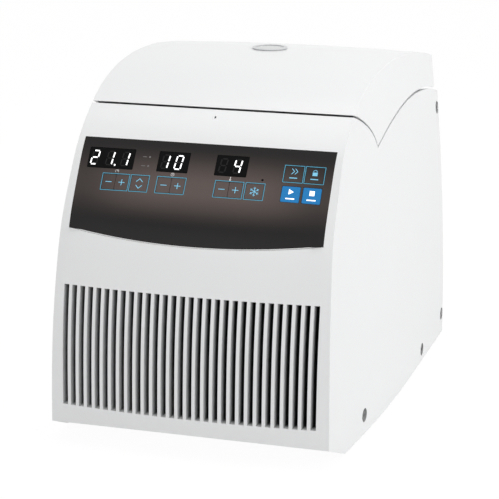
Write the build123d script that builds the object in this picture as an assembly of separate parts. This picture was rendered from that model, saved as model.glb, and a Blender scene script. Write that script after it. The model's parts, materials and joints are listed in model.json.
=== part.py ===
"""Refrigerated bench centrifuge for small tubes, as an assembly of separate pieces.

Millimetres. +Z is up, the front looks along -Y, and the origin lies on the table under
the middle of the machine.
"""
from build123d import *
import math
import os

# Overall form
WIDTH = 290.0
DEPTH = 440.0
FOOT_DROP = 3.0
FRONT_NARROWING = 16.0
WIDEST_FROM_REAR = 170.0
SIDE_LEAN = 12.0
SIDE_LEAN_HEIGHT = 260.0
FRONT_BOW = 8.5
BOW_FULL_BELOW = 189.0
BOW_GONE_ABOVE = 271.0
LID_CROWN = 2.6
CROWN_STARTS = -112.0
CROWN_FULL = -50.0
REAR_CORNER_RADIUS = 9.0
UNDERSIDE_RISE = 20.0
UNDERSIDE_RISE_LENGTH = 48.0
WALL = 3.0
FIT_GAP = 0.3

# The front and the lid in side view, at the side edges: depth and height
FRONT_PROFILE = [(-212.3, 3), (-210.4, 63), (-206.5, 113), (-198.0, 163), (-186.8, 203), (-168.3, 238),
                 (-148.5, 268), (-131.0, 284), (-112.5, 296.5)]
LID_PROFILE = [(-97.5, 304.8), (-78.0, 312.6), (-56.0, 318.4), (-28.0, 322.6), (2.0, 324.8), (32.0, 325.2),
               (62.0, 324.0), (102.0, 320.2), (150.0, 313.4), (186.0, 306.4), (226.0, 297.0)]

# The lid's parting line in side view
SEAM_FRONT = [(-142.0, 304.0), (-112.0, 296.0), (-84.0, 284.6), (-61.0, 269.5), (-51.0, 257.0)]
SEAM_ARC_MID = (72.0, 279.5)
SEAM_GAP = 2.2
LID_REAR = 196.0
SEAM_ARC_END = (LID_REAR, 269.5)
HOUSING_REAR_HEIGHT = 265.0

# Grille
SLOT_COUNT = 30
SLOT_PITCH = 7.98
SLOT_WIDTH = 5.0
SLOT_BOTTOM = 37.5
SLOT_TOP = 147.5
GRILLE_BACK = -184.0
GRILLE_MARGIN = 4.0
POCKET_WALL = 1.0

# Control panel
PANEL_HALF_WIDTH = 117.3
PANEL_TOP = 270.6
PANEL_FOOT = 196.6
PANEL_SAG = 7.5
PANEL_THICKNESS = 1.2
PANEL_RIM = 7.0
PANEL_TILT = 30.0
PANEL_MIDDLE = (-170.0, 236.0)
KEY_CLEARANCE = 0.35
KEY_THICKNESS = 2.4
KEY_SINK = 0.15
KEY_TRAVEL = 0.4
SWITCH_RADIUS = 2.5
BOARD_DEPTH = 13.0
BOARD_THICKNESS = 1.6
BOARD_HALF_WIDTH = 103.3
BOARD_FOOT = -49.0
BOARD_HEAD = 43.0
BOARD_REACH = 30.0
KEY_GAP = 0.05
KEY_CORNER = 1.0
PANEL_FIT = 0.1
BOARD_POSTS = [(-55.0, 39.0), (55.0, 39.0), (-96.0, -45.0), (96.0, -45.0)]
POST_RADIUS = 3.0
KEY_ROW = (229.5, 242.0)
UPPER_KEY_ROW = (245.8, 258.3)
KEYS = {
    "speed_minus_key": (-92.4, -80.4, KEY_ROW),
    "speed_plus_key": (-80.0, -68.0, KEY_ROW),
    "unit_key": (-65.2, -49.2, KEY_ROW),
    "time_minus_key": (-40.4, -27.8, KEY_ROW),
    "time_plus_key": (-27.4, -14.8, KEY_ROW),
    "temperature_minus_key": (13.6, 25.8, KEY_ROW),
    "temperature_plus_key": (26.2, 38.4, KEY_ROW),
    "precool_key": (41.6, 57.6, KEY_ROW),
    "pulse_key": (74.0, 90.4, UPPER_KEY_ROW),
    "lid_open_key": (93.0, 109.2, UPPER_KEY_ROW),
    "start_key": (74.0, 90.4, KEY_ROW),
    "stop_key": (93.0, 109.2, KEY_ROW),
}
WINDOW_ROW = (246.8, 263.4)
WINDOWS = [(-109.6, -66.4, WINDOW_ROW), (-43.4, -14.8, WINDOW_ROW), (10.6, 39.6, WINDOW_ROW)]
RELEASE_HOLE = (-2.0, 290.0)
RELEASE_HOLE_RADIUS = 1.0

# Chamber and rotor
AXIS_Y = 42.0
DECK_TOP = 250.0
DECK_THICKNESS = 3.0
DECK_FRONT = -107.0
BOWL_RADIUS = 98.0
BOWL_WALL = 1.5
BOWL_FLOOR = 160.0
BOWL_CORNER = 16.0
BOWL_FLANGE = 10.0
COIL_TUBE = 6.0
COIL_BOTTOM = 172.0
COIL_TOP = 238.0
INSULATION_WALL = 12.0
INSULATION_FLOOR = 12.0
INSULATION_HOLE = 20.0
ARMOUR_WALL = 4.0
GASKET_WIDTH = 7.0
GASKET_GAP = 0.5
GASKET_ROUND = 1.5
SEAL_GAP = 0.4
SEAL_WIDTH = 7.0
SEAL_FIT = 0.05
SEAL_LIP = 4.0
SEAL_TOP = 5.0
SHAFT_RADIUS = 6.0
SHAFT_RUNNING_GAP = 0.05
SHAFT_IN_MOTOR = 40.0
SHAFT_BELOW_RIM = 8.0
SHAFT_COLLAR = 4.0
SHAFT_COLLAR_FOOT = 8.0
ROTOR_RADIUS = 92.0
ROTOR_BOTTOM = 184.0
ROTOR_TOP = 234.0
ROTOR_DISH = 210.0
ROTOR_DISH_RADIUS = 46.0
ROTOR_HUB_RADIUS = 14.0
ROTOR_BORE_GAP = 0.02
ROTOR_FOOT_BEVEL = 9.0
ROTOR_RIM_TAPER = 4.0
ROTOR_RIM_HEIGHT = 18.0
POCKET_COUNT = 24
POCKET_RADIUS = 5.6
POCKET_DEPTH = 38.0
POCKET_LEAD = 10.0
POCKET_MOUTH_RADIUS = 58.0
POCKET_ANGLE = 45.0
ROTOR_LID_RADIUS = 86.0
ROTOR_LID_THICKNESS = 3.6
ROTOR_LID_BORE = 7.0
ROTOR_LID_ROUND = 2.0
NUT_RADIUS = 10.0
STEM_RADIUS = 6.9
KNOB_RADIUS = 18.0
KNOB_HEIGHT = 12.0
KNOB_LOBES = 6
KNOB_BITE_RADIUS = 6.0
KNOB_BITE_OUT = 3.0
KNOB_SKIRT = 3.0
KNOB_ROUND = 3.0

# Lid
LINER_BOTTOM = 258.0
LINER_WALL = 2.6
LINER_HALF_WIDTH = 121.0
LINER_FRONT = -98.0
LINER_REAR = 186.0
LINER_TOP = 290.0
LINER_RIM_FRONT = -66.0
LINER_CORNER = 14.0
LID_REAR_CORNER = 1.0
PORT_RADIUS = 13.6
PORT_RING_WALL = 2.0
PORT_STAND = 1.3
PORT_FIT = 0.05
PORT_FOOT_GAP = 0.5
PORT_BEAD_WIDTH = 1.4
PORT_BEAD_HEIGHT = 0.9
WINDOW_DEPTH = 3.0
WINDOW_SINK = 0.5
LID_TOP_AT_AXIS = 325.3
HINGE_Y = 203.0
HINGE_Z = 271.0
HINGE_OFFSET = 78.0
HINGE_PIN_RADIUS = 3.0
KNUCKLE_RADIUS = 5.5
KNUCKLE_LENGTH = 20.0
EAR_THICKNESS = 3.0
EAR_RADIUS = 4.8
EAR_GAP = 0.5
EAR_ROOT = 2.0
ARM_RISE = 0.5
ARM_PLATE_SIDE = 6.0
ARM_PLATE_THICKNESS = 1.5
ARM_PLATE_HEIGHT = 24.0
PIN_RUNNING_GAP = 0.05
PIN_EAR_GAP = 0.02
PIN_HEAD_THICKNESS = 1.2
PIN_HEAD_WIDTH = 1.4
BEAM_HOLLOW_SIDE = 40.0
BEAM_FRONT_WALL = 2.0
BEAM_REAR_WALL = 8.0
HOOK_Y = -94.0
HOOK_WIDTH = 22.0
HOOK_THICKNESS = 4.0
HOOK_TIP = 231.0
HOOK_SIDE_GAP = 2.0
HOOK_SLOT_AHEAD = 8.0
HOOK_SLOT_BEHIND = 3.0
HOOK_FOOT = (6.0, 3.0, 2.0)
HOOK_WINDOW = (6.0, 4.0, 11.0)

# Motor and frame
PAN_BOTTOM = 5.0
SHEET = 2.0
SUPPORT_TOP = BOWL_FLOOR - INSULATION_FLOOR - FIT_GAP
SUPPORT_THICKNESS = 4.0
SUPPORT_HALF = 110.0
SUPPORT_CORNER = 12.0
SUPPORT_HOLE = 30.0
PIPE_HOLE_GAP = 1.5
LEG_SIZE = 14.0
LEG_SPREAD = 84.0
LEGS_AHEAD = 98.0
LEGS_BEHIND = 50.0
MOTOR_RADIUS = 48.0
MOTOR_HEIGHT = 84.0
MOTOR_PLATE_THICKNESS = 4.0
MOTOR_PLATE_EDGE = 14.0
MOTOR_PLATE_HOLE = 16.0
MOTOR_BEVEL = 5.0
RIB_COUNT = 16
RIB_STAND = 5.0
RIB_ROOT = 2.0
RIB_HALF_WIDTH = 1.5
RIB_FOOT_GAP = 14.0
RIB_HEAD_GAP = 12.0
DAMPER_RADIUS = 9.0
DAMPER_HEIGHT = 12.0
DAMPER_CIRCLE = 62.0
DAMPER_WAIST_DEPTH = 1.6
DAMPER_WAIST = (0.35, 0.65)

# Refrigeration
CONDENSER_SIZE = (196.0, 24.0, 118.0)
CONDENSER_FRONT = -178.0
CONDENSER_BOTTOM = 28.0
FIN_COUNT = 36
FIN_EDGE = 8.0
FIN_GROOVE_SHARE = 0.3
FIN_GROOVE_DEPTH = 5.0
FIN_END = 5.0
CONDENSER_FOOT = (12.0, 8.0)
FAN_SIZE = 120.0
FAN_DEPTH = 25.0
FAN_BORE = 57.0
FAN_BLADES = 7
FAN_HUB_RADIUS = 20.0
FAN_CORNER = 6.0
FAN_BOSS_DEPTH = 6.0
FAN_SPOKES = 4
FAN_SPOKE = (4.0, 2.0)
FAN_STAND_INSET = 4.0
FAN_HUB_FRONT = 3.0
FAN_HUB_ROUND = 3.0
BLADE_THICKNESS = 2.0
BLADE_CHORD = 17.0
BLADE_PITCH = 38.0
BLADE_TIP_GAP = 0.5
COMPRESSOR_RADIUS = 47.0
COMPRESSOR_HEIGHT = 112.0
COMPRESSOR_PLACE = (-78.0, 158.0)
GROMMET_HEIGHT = 12.0
GROMMET_RADIUS = 9.0
GROMMET_SPREAD = 34.0
COMPRESSOR_FOOT = 3.0
COMPRESSOR_FOOT_HALF = 44.0
COMPRESSOR_FOOT_CORNER = 14.0
COMPRESSOR_DOME = 26.0
COMPRESSOR_SEAM = (52.0, 58.0)
COMPRESSOR_SEAM_STAND = 1.5
PIPE_RADIUS = 3.2
PIPE_BEND = 9.0
SUPPLY_X = -116.0
SUPPLY_FROM_CAN = -26.0
SUPPLY_HEIGHT = 30.0
SUPPLY_END_HEIGHT = 60.0
SUPPLY_TURNS_Y = (92.0, 66.0, -136.0)
SUPPLY_END_IN = 12.0
SUCTION_HEIGHT = 40.0
SUCTION_PLACE = (-64.0, 93.0)
DRIER_RADIUS = 11.0
DRIER_LENGTH = 84.0
DRIER_FRONT = -60.0
DRIER_SHIFT = 2.0
DRIER_HEIGHT = 62.0
DRIER_BEVEL = 4.0
CLIP_HALF_WIDTH = 3.0
CLIP_Y = (-30.0, -18.0)

# Electrical
INLET_PLACE = (88.0, 52.0)
INLET_SIZE = (49.0, 28.0)
SWITCH_PLACE = (88.0, 92.0)
SWITCH_SIZE = (30.0, 22.0)
ROCKER_TILT = 9.0
REAR_STAND = 2.2
REAR_CUT = 9.0
REAR_PART_GAP = 0.2
VENT_ROWS = 9
VENT_COLUMNS = (-58.0, 0.0)
VENT_HALF_WIDTH = 24.0
VENT_FOOT = 120.0
VENT_PITCH = 11.0
VENT_HEIGHT = 5.0
INLET_DEPTH = 30.0
INLET_RIM = 4.0
SOCKET_HALF = (12.0, 8.0)
SOCKET_DEPTH = 20.0
SOCKET_BEVEL = 4.0
CONTACTS = [(-7.0, -2.0), (0.0, 2.5), (7.0, -2.0)]
CONTACT_HALF = (1.0, 2.0)
CONTACT_BEHIND_MOUTH = 4.0
SWITCH_DEPTH = 22.0
SWITCH_RIM = (2.5, 1.2)
SWITCH_WALL = 2.0
SWITCH_WELL_DEPTH = 12.0
ROCKER_PIVOT_DEPTH = 5.0
ROCKER_PIVOT_RADIUS = 1.5
ROCKER_SIDE_GAP = 2.4
ROCKER_END_GAP = 3.4
ROCKER_BACK = 3.0
ROCKER_FACE = 4.6
ROCKER_DISH_RADIUS = 12.0
ROCKER_DISH_OUT = 14.5
SUPPLY_BOX = ((24.0, 122.0), (104.0, 176.0))
SUPPLY_BOX_HEIGHT = 44.0
SUPPLY_BOX_CORNER = 2.0
SUPPLY_SLOTS = 10
SUPPLY_SLOT_X = 34.0
SUPPLY_SLOT_PITCH = 8.0
SUPPLY_SLOT_WIDTH = 4.0
SUPPLY_SLOT_Y = (112.0, 168.0)
SUPPLY_SLOT_DEPTH = 3.0
DRIVE_BOARD_X = (124.0, 125.6)
DRIVE_BOARD_Y = (-110.0, 70.0)
DRIVE_BOARD_TOP = 100.0
SINK_FINS = 8
SINK_FIN_X = 110.0
SINK_FIN_Y = -90.0
SINK_FIN_PITCH = 8.0
SINK_FIN_WIDTH = 3.0
SINK_FIN_Z = (50.0, 90.0)
SINK_BACK_X = 120.0
SINK_MARGIN = 2.0
CAPACITOR_Y = (20.0, 44.0)
CAPACITOR_Z = 60.0
CAPACITOR_RADIUS = 9.0
CAPACITOR_X = 98.0

# Feet and fasteners
FOOT_RADIUS = 14.0
FOOT_BEVEL = 1.5
FEET = [(-104.0, -128.0), (104.0, -128.0), (-116.0, 180.0), (116.0, 180.0)]
SCREW_RADIUS = 4.2
SCREW_RECESS_RADIUS = 6.5
SCREW_RECESS_DEPTH = 1.8
SCREW_HEAD_HEIGHT = 1.2
SCREW_SOCKET_RADIUS = 1.6
SCREW_SOCKET_DEPTH = 1.0
SIDE_SCREWS = [(-118.0, 21.0), (104.0, 15.0), (203.0, 24.0), (203.0, 248.0)]
PAN_LIP = 18.0
FILTER_THICKNESS = 3.0
FILTER_EDGE = 3.0
LOCK_HALF_WIDTH = 34.0
LOCK_BELOW_TIP = 8.0
LOCK_WALL = 2.0
LOCK_WELL_DROP = 3.0
BOLT_ABOVE_TIP = 7.5
BOLT_RADIUS = 2.3
BOLT_RUNNING_GAP = 0.1
BOLT_BEHIND = 9.0
LOCK_MOTOR = (16.0, 7.0)
LOCK_MOTOR_Y = (-5.0, -3.0)

REAR_FACE = DEPTH / 2 - REAR_STAND
HALF_WIDTH = WIDTH / 2
FAR = 400.0


def bow_at(height):
    """How far the middle of the front stands ahead of its edges at a height."""
    fade = (BOW_GONE_ABOVE - height) / (BOW_GONE_ABOVE - BOW_FULL_BELOW)
    fade = min(1.0, max(0.0, fade))
    return FRONT_BOW * fade * fade * (3 - 2 * fade)


def crown_at(depth):
    """How far the middle of the lid stands above its edges at a depth."""
    rise = (depth - CROWN_STARTS) / (CROWN_FULL - CROWN_STARTS)
    rise = min(1.0, max(0.0, rise))
    return LID_CROWN * rise * rise * (3 - 2 * rise)


def inset_points(points, inset):
    """Move an open side-view line inwards, square to itself."""
    moved = []
    for i, (y, z) in enumerate(points):
        before = points[max(i - 1, 0)]
        after = points[min(i + 1, len(points) - 1)]
        run, rise = after[0] - before[0], after[1] - before[1]
        length = math.hypot(run, rise)
        moved.append((y + inset * rise / length, z - inset * run / length))
    return moved


def barrel(inset=0.0):
    """Everything behind the front and under the lid's top, wider than the machine."""
    sections = []
    outline = inset_points(FRONT_PROFILE + LID_PROFILE, inset)
    for share in (-1.2, -0.8, -0.4, 0.0, 0.4, 0.8, 1.2):
        x = share * (HALF_WIDTH - FRONT_NARROWING)
        bulge = 1 - share * share
        points = [(x, y - bow_at(z) * bulge, z + crown_at(y) * bulge) for y, z in outline]
        points[0] = (x, points[0][1], -FOOT_DROP)
        rear_top = (x, DEPTH, points[-1][2])
        rear_foot = (x, DEPTH, -FOOT_DROP)
        wire = Wire([Spline(points), Line(points[-1], rear_top), Line(rear_top, rear_foot),
                     Line(rear_foot, points[0])])
        sections.append(Face(wire))
    return loft(sections)


def side_inset_at(height):
    """How far the sides lean in at a height above the housing's foot."""
    return SIDE_LEAN * (height / SIDE_LEAN_HEIGHT) ** 2


def flanks(inset=0.0, rear=REAR_FACE, corner=REAR_CORNER_RADIUS):
    """The space between the two sides, which curve outwards towards the rear."""
    sections = []
    widest = REAR_FACE - WIDEST_FROM_REAR
    front = -DEPTH / 2 - 14.0
    for height in (0.0, 90.0, 180.0, 260.0, 345.0):
        half = HALF_WIDTH - inset - side_inset_at(height)
        reach = (widest - front) / (widest + DEPTH / 2)
        narrow = half - FRONT_NARROWING * reach ** 2
        middle = half - FRONT_NARROWING * (reach / 2) ** 2
        half_way = (front + widest) / 2
        right = [Line((narrow * -1, front), (narrow, front)),
                 ThreePointArc((narrow, front), (middle, half_way), (half, widest)),
                 Line((half, widest), (half, rear - corner)),
                 RadiusArc((half, rear - corner), (half - corner, rear), -corner),
                 Line((half - corner, rear), (corner - half, rear)),
                 RadiusArc((corner - half, rear), (-half, rear - corner), -corner),
                 Line((-half, rear - corner), (-half, widest)),
                 ThreePointArc((-half, widest), (-middle, half_way), (-narrow, front))]
        sections.append(Pos(0, 0, height) * Face(Wire(right)))
    return loft(sections)


def side_prism(points_and_edges, half=FAR):
    """Extrude a closed side-view outline across the machine."""
    return extrude(Face(Wire(points_and_edges)), amount=2 * half, dir=(1, 0, 0)).moved(Pos(-half, 0, 0))


def seam_edges(shift):
    """The lid's parting line in side view, moved up or down."""
    front = [(0, y, z + shift) for y, z in SEAM_FRONT]
    middle = (0, SEAM_ARC_MID[0], SEAM_ARC_MID[1] + shift)
    end = (0, SEAM_ARC_END[0], SEAM_ARC_END[1] + shift)
    return [Spline(front), ThreePointArc(front[-1], middle, end)], front[0], end


def below_seam():
    """The space that the housing may fill."""
    edges, first, last = seam_edges(-SEAM_GAP / 2)
    strip_front = (0, LID_REAR + 2, HOUSING_REAR_HEIGHT)
    strip_rear = (0, FAR, HOUSING_REAR_HEIGHT - 6)
    rise_end = (0, -DEPTH / 2 + UNDERSIDE_RISE_LENGTH, FOOT_DROP)
    rise_start = (0, -DEPTH / 2, FOOT_DROP + UNDERSIDE_RISE)
    far_front = (0, -FAR, FOOT_DROP + UNDERSIDE_RISE)
    corners = [last, strip_front, strip_rear, (0, FAR, FOOT_DROP), rise_end, rise_start, far_front,
               (0, -FAR, first[2]), first]
    lines = [Line(a, b) for a, b in zip(corners, corners[1:])]
    return side_prism(edges + lines)


def above_seam():
    """The space that the lid may fill."""
    edges, first, last = seam_edges(SEAM_GAP / 2)
    corners = [last, (0, LID_REAR, FAR), (0, -FAR, FAR), (0, -FAR, first[2]), first]
    lines = [Line(a, b) for a, b in zip(corners, corners[1:])]
    return side_prism(edges + lines)


def block(x, y, z):
    """A box from its low and high corners along each axis."""
    size = [b - a for a, b in (x, y, z)]
    centre = [(a + b) / 2 for a, b in (x, y, z)]
    return Pos(*centre) * Box(*size)


def pillar(x, y, radius, low, high):
    """An upright round bar."""
    return Pos(x, y, (low + high) / 2) * Cylinder(radius, high - low)


def ring(x, y, inner, outer, low, high):
    """An upright tube."""
    return pillar(x, y, outer, low, high) - pillar(x, y, inner, low - 1, high + 1)


def bar_x(y, z, radius, low, high):
    """A round bar along X."""
    return Pos((low + high) / 2, y, z) * Rot(0, 90, 0) * Cylinder(radius, high - low)


def bar_y(x, z, radius, low, high):
    """A round bar along Y."""
    return Pos(x, (low + high) / 2, z) * Rot(90, 0, 0) * Cylinder(radius, high - low)


def panel_plane():
    """The plane of the keys: x across, y up the panel, z out of it."""
    tilt = math.radians(PANEL_TILT)
    return Plane(origin=(0, *PANEL_MIDDLE), x_dir=(1, 0, 0), z_dir=(0, -math.cos(tilt), math.sin(tilt)))


def panel_prism(place, grow=0.0):
    """A straight prism through the panel, square to it, over a key or window."""
    left, right, (low, high) = place
    slope = math.cos(math.radians(PANEL_TILT))
    bottom, top = ((z - PANEL_MIDDLE[1]) / slope for z in (low, high))
    width, height = right - left + 2 * grow, top - bottom + 2 * grow
    sketch = Pos((left + right) / 2, (bottom + top) / 2) * RectangleRounded(width, height, KEY_CORNER)
    return extrude(panel_plane() * sketch, amount=BOARD_REACH, both=True)


def panel_outline(shrink=0.0):
    """A prism along Y through the dark control panel, whose foot sags in the middle."""
    half = PANEL_HALF_WIDTH - shrink
    top, foot = PANEL_TOP - shrink, PANEL_FOOT + shrink
    corners = [(-half, 0, top), (half, 0, top), (half, 0, foot), (-half, 0, foot)]
    edges = [Line(corners[3], corners[0]), Line(corners[0], corners[1]), Line(corners[1], corners[2]),
             ThreePointArc(corners[2], (0, 0, foot - PANEL_SAG), corners[3])]
    return extrude(Face(Wire(edges)), amount=FAR, dir=(0, -1, 0))


OUTER = barrel() & flanks()
BARREL_IN = barrel(WALL)
INNER_CLEAR = barrel(WALL + FIT_GAP) & flanks(WALL + FIT_GAP, REAR_FACE - WALL - FIT_GAP)
FLANKS_IN = flanks(WALL)
HOUSING_SPACE = below_seam()
LID_SPACE = above_seam()


def housing_nodes():
    """Fascia with its grille, side panels, rear panel, top deck and base pan."""
    plates = (OUTER - FLANKS_IN) & HOUSING_SPACE
    recesses = []
    screws = []
    for y, z in SIDE_SCREWS:
        for side in (-1, 1):
            surface = side * side_half_width(y, z)
            axis = Pos(surface, y, z) * Rot(0, 90, 0)
            recesses.append(axis * Cylinder(SCREW_RECESS_RADIUS, 2 * SCREW_RECESS_DEPTH))
            head = Pos(side * -(SCREW_RECESS_DEPTH - SCREW_HEAD_HEIGHT / 2), 0, 0) * axis * Cylinder(
                SCREW_RADIUS, SCREW_HEAD_HEIGHT)
            socket = Pos(side * -(SCREW_RECESS_DEPTH - SCREW_HEAD_HEIGHT), 0, 0) * axis * extrude(
                RegularPolygon(SCREW_SOCKET_RADIUS, 6), amount=SCREW_SOCKET_DEPTH, both=True)
            screws.append(head - socket)
    plates = plates - recesses
    rear_slab = block((-FAR, FAR), (REAR_FACE - WALL, REAR_FACE), (FOOT_DROP, FAR))
    rear = OUTER & FLANKS_IN & HOUSING_SPACE & rear_slab
    nodes = {
        "left_side_panel": plates & block((-FAR, 0), (-FAR, REAR_FACE - REAR_CORNER_RADIUS), (-FAR, FAR)),
        "right_side_panel": plates & block((0, FAR), (-FAR, REAR_FACE - REAR_CORNER_RADIUS), (-FAR, FAR)),
        "side_screws": screws,
    }
    corners = plates & block((-FAR, FAR), (REAR_FACE - REAR_CORNER_RADIUS, FAR), (-FAR, FAR))
    rear = rear + corners
    vents = []
    for row in range(VENT_ROWS):
        for x in VENT_COLUMNS:
            z = VENT_FOOT + row * VENT_PITCH
            vents.append(block((x - VENT_HALF_WIDTH, x + VENT_HALF_WIDTH), (REAR_FACE - REAR_CUT, FAR),
                               (z, z + VENT_HEIGHT)))
    for x, z, w, h in ((*INLET_PLACE, *INLET_SIZE), (*SWITCH_PLACE, *SWITCH_SIZE)):
        vents.append(block((x - w / 2, x + w / 2), (REAR_FACE - REAR_CUT, FAR),
                           (z - h / 2, z + h / 2)))
    nodes["rear_panel"] = rear - vents

    front_wall = (OUTER & FLANKS_IN & HOUSING_SPACE) - BARREL_IN
    front_wall = front_wall & block((-FAR, FAR), (-FAR, DECK_FRONT), (-FAR, FAR))
    half_grille = SLOT_COUNT * SLOT_PITCH / 2 + GRILLE_MARGIN
    depth_block = block((-half_grille, half_grille), (-FAR, GRILLE_BACK),
                        (SLOT_BOTTOM - GRILLE_MARGIN, SLOT_TOP + GRILLE_MARGIN))
    fascia = front_wall + (OUTER & FLANKS_IN & depth_block)
    slots = []
    for i in range(SLOT_COUNT):
        x = (i - (SLOT_COUNT - 1) / 2) * SLOT_PITCH
        slots.append(block((x - SLOT_WIDTH / 2, x + SLOT_WIDTH / 2), (-FAR, GRILLE_BACK + POCKET_WALL),
                           (SLOT_BOTTOM, SLOT_TOP)))
    fascia = fascia - slots
    recess = panel_outline(-PANEL_FIT) - barrel(PANEL_THICKNESS)
    fascia = fascia - recess - panel_outline(PANEL_RIM)
    release = bar_y(RELEASE_HOLE[0], RELEASE_HOLE[1], RELEASE_HOLE_RADIUS, -FAR, DECK_FRONT)
    nodes["front_fascia"] = fascia - release

    deck = INNER_CLEAR & block((-FAR, FAR), (DECK_FRONT, REAR_FACE - WALL - FIT_GAP),
                               (DECK_TOP - DECK_THICKNESS, DECK_TOP))
    upstand = INNER_CLEAR & HOUSING_SPACE & block(
        (-FAR, FAR), (DECK_FRONT, DECK_FRONT + DECK_THICKNESS), (DECK_TOP - 1, FAR))
    bowl_hole = pillar(0, AXIS_Y, BOWL_RADIUS + BOWL_WALL + FIT_GAP, 0, FAR)
    half_slot = HOOK_WIDTH / 2 + HOOK_SIDE_GAP
    hook_slot = block((-half_slot, half_slot),
                      (HOOK_Y - HOOK_SLOT_AHEAD, HOOK_Y + HOOK_THICKNESS + HOOK_SLOT_BEHIND), (0, FAR))
    nodes["top_deck"] = deck + upstand - bowl_hole - hook_slot

    pan_rim = flanks(WALL + FIT_GAP, REAR_FACE - WALL - FIT_GAP) - flanks(
        WALL + FIT_GAP + SHEET, REAR_FACE - WALL - FIT_GAP - SHEET)
    pan_front = -DEPTH / 2 + UNDERSIDE_RISE_LENGTH
    pan_box = block((-FAR, FAR), (pan_front, FAR), (PAN_BOTTOM, PAN_BOTTOM + SHEET))
    pan = flanks(WALL + FIT_GAP, REAR_FACE - WALL - FIT_GAP) & pan_box
    lip_box = block((-FAR, FAR), (pan_front, FAR), (PAN_BOTTOM, PAN_BOTTOM + PAN_LIP))
    front_lip = flanks(WALL + FIT_GAP) & block(
        (-FAR, FAR), (pan_front, pan_front + SHEET), (PAN_BOTTOM, PAN_BOTTOM + PAN_LIP))
    nodes["base_pan"] = pan + (pan_rim & lip_box) + front_lip
    return nodes


def side_half_width(y, height):
    """Half the machine's width at a depth and height."""
    widest = REAR_FACE - WIDEST_FROM_REAR
    reach = max(0.0, (widest - y) / (widest + DEPTH / 2))
    return HALF_WIDTH - side_inset_at(height) - FRONT_NARROWING * reach ** 2


def control_nodes():
    """Dark panel, its keys and display windows, and the board that carries them."""
    face = (barrel() - barrel(PANEL_THICKNESS)) & panel_outline()
    for place in list(KEYS.values()) + WINDOWS:
        face = face - panel_prism(place, KEY_CLEARANCE)
    nodes = {"control_panel": face}
    key_skin = barrel(KEY_SINK) - barrel(KEY_SINK + KEY_THICKNESS)
    for name, place in KEYS.items():
        nodes[name] = key_skin & panel_prism(place)
    plane = panel_plane()
    board_face = plane.offset(-BOARD_DEPTH)
    board = extrude(board_face * Pos(0, (BOARD_FOOT + BOARD_HEAD) / 2) * Rectangle(
        2 * BOARD_HALF_WIDTH, BOARD_HEAD - BOARD_FOOT), amount=-BOARD_THICKNESS)
    posts = []
    for x, v in BOARD_POSTS:
        posts.append(extrude(board_face * Pos(x, v) * Circle(POST_RADIUS), amount=BOARD_REACH))
    switches = []
    for left, right, (low, high) in KEYS.values():
        v = ((low + high) / 2 - PANEL_MIDDLE[1]) / math.cos(math.radians(PANEL_TILT))
        spot = board_face * Pos((left + right) / 2, v)
        switches.append(extrude(spot * Circle(SWITCH_RADIUS), amount=BOARD_REACH))
    under_keys = barrel(KEY_SINK + KEY_THICKNESS + KEY_TRAVEL + KEY_GAP)
    switches = [switch & under_keys for switch in switches]
    nodes["control_board"] = ((board + posts) & BARREL_IN) + switches
    in_front = extrude(board_face * Rectangle(FAR, FAR), amount=2 * BOARD_REACH)
    lens_space = barrel(KEY_SINK) & in_front
    nodes["display_modules"] = [lens_space & panel_prism(place) for place in WINDOWS]
    return nodes


def chamber_nodes():
    """Steel bowl with its cooling coil, foam, armour ring and seal."""
    wall_out = BOWL_RADIUS + BOWL_WALL
    bowl_out = pillar(0, AXIS_Y, wall_out, BOWL_FLOOR, DECK_TOP + BOWL_WALL)
    bowl_out = fillet(bowl_out.edges().sort_by(Axis.Z)[0], BOWL_CORNER)
    bowl_in = pillar(0, AXIS_Y, BOWL_RADIUS, BOWL_FLOOR + BOWL_WALL, FAR)
    bowl_in = fillet(bowl_in.edges().sort_by(Axis.Z)[0], BOWL_CORNER - BOWL_WALL)
    flange = pillar(0, AXIS_Y, wall_out + BOWL_FLANGE, DECK_TOP, DECK_TOP + BOWL_WALL)
    seal_radius = SHAFT_RADIUS + SEAL_WIDTH
    bowl = bowl_out + flange - bowl_in - pillar(0, AXIS_Y, seal_radius, 0, DECK_TOP)
    coil_in = wall_out + FIT_GAP
    foam_in = coil_in + COIL_TUBE + FIT_GAP
    foam_out = foam_in + INSULATION_WALL
    foam_top = DECK_TOP - DECK_THICKNESS - FIT_GAP
    foam_foot = BOWL_FLOOR - INSULATION_FLOOR
    foam = pillar(0, AXIS_Y, foam_out, foam_foot, foam_top)
    foam = foam - pillar(0, AXIS_Y, foam_in, BOWL_FLOOR - FIT_GAP, FAR)
    foam = foam - pillar(0, AXIS_Y, INSULATION_HOLE, 0, FAR)
    coil = ring(0, AXIS_Y, coil_in, coil_in + COIL_TUBE, COIL_BOTTOM, COIL_TOP)
    armour = ring(0, AXIS_Y, foam_out + FIT_GAP, foam_out + FIT_GAP + ARMOUR_WALL, SUPPORT_TOP, foam_top)
    seal_in = SHAFT_RADIUS + SEAL_GAP
    seal = ring(0, AXIS_Y, seal_in, seal_radius - SEAL_FIT, BOWL_FLOOR - 1, BOWL_FLOOR + SEAL_TOP)
    seal = seal + ring(0, AXIS_Y, seal_in, seal_radius + SEAL_LIP, BOWL_FLOOR + BOWL_WALL,
                       BOWL_FLOOR + SEAL_TOP)
    gasket_in = wall_out + GASKET_GAP
    gasket = ring(0, AXIS_Y, gasket_in, gasket_in + GASKET_WIDTH, DECK_TOP + BOWL_WALL,
                  LINER_BOTTOM - FIT_GAP)
    gasket = fillet(gasket.edges().group_by(Axis.Z)[-1], GASKET_ROUND)
    return {
        "chamber_bowl": bowl,
        "chamber_insulation": foam,
        "evaporator_coil": coil,
        "armour_ring": armour,
        "shaft_seal": seal,
        "chamber_gasket": gasket,
    }


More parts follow.
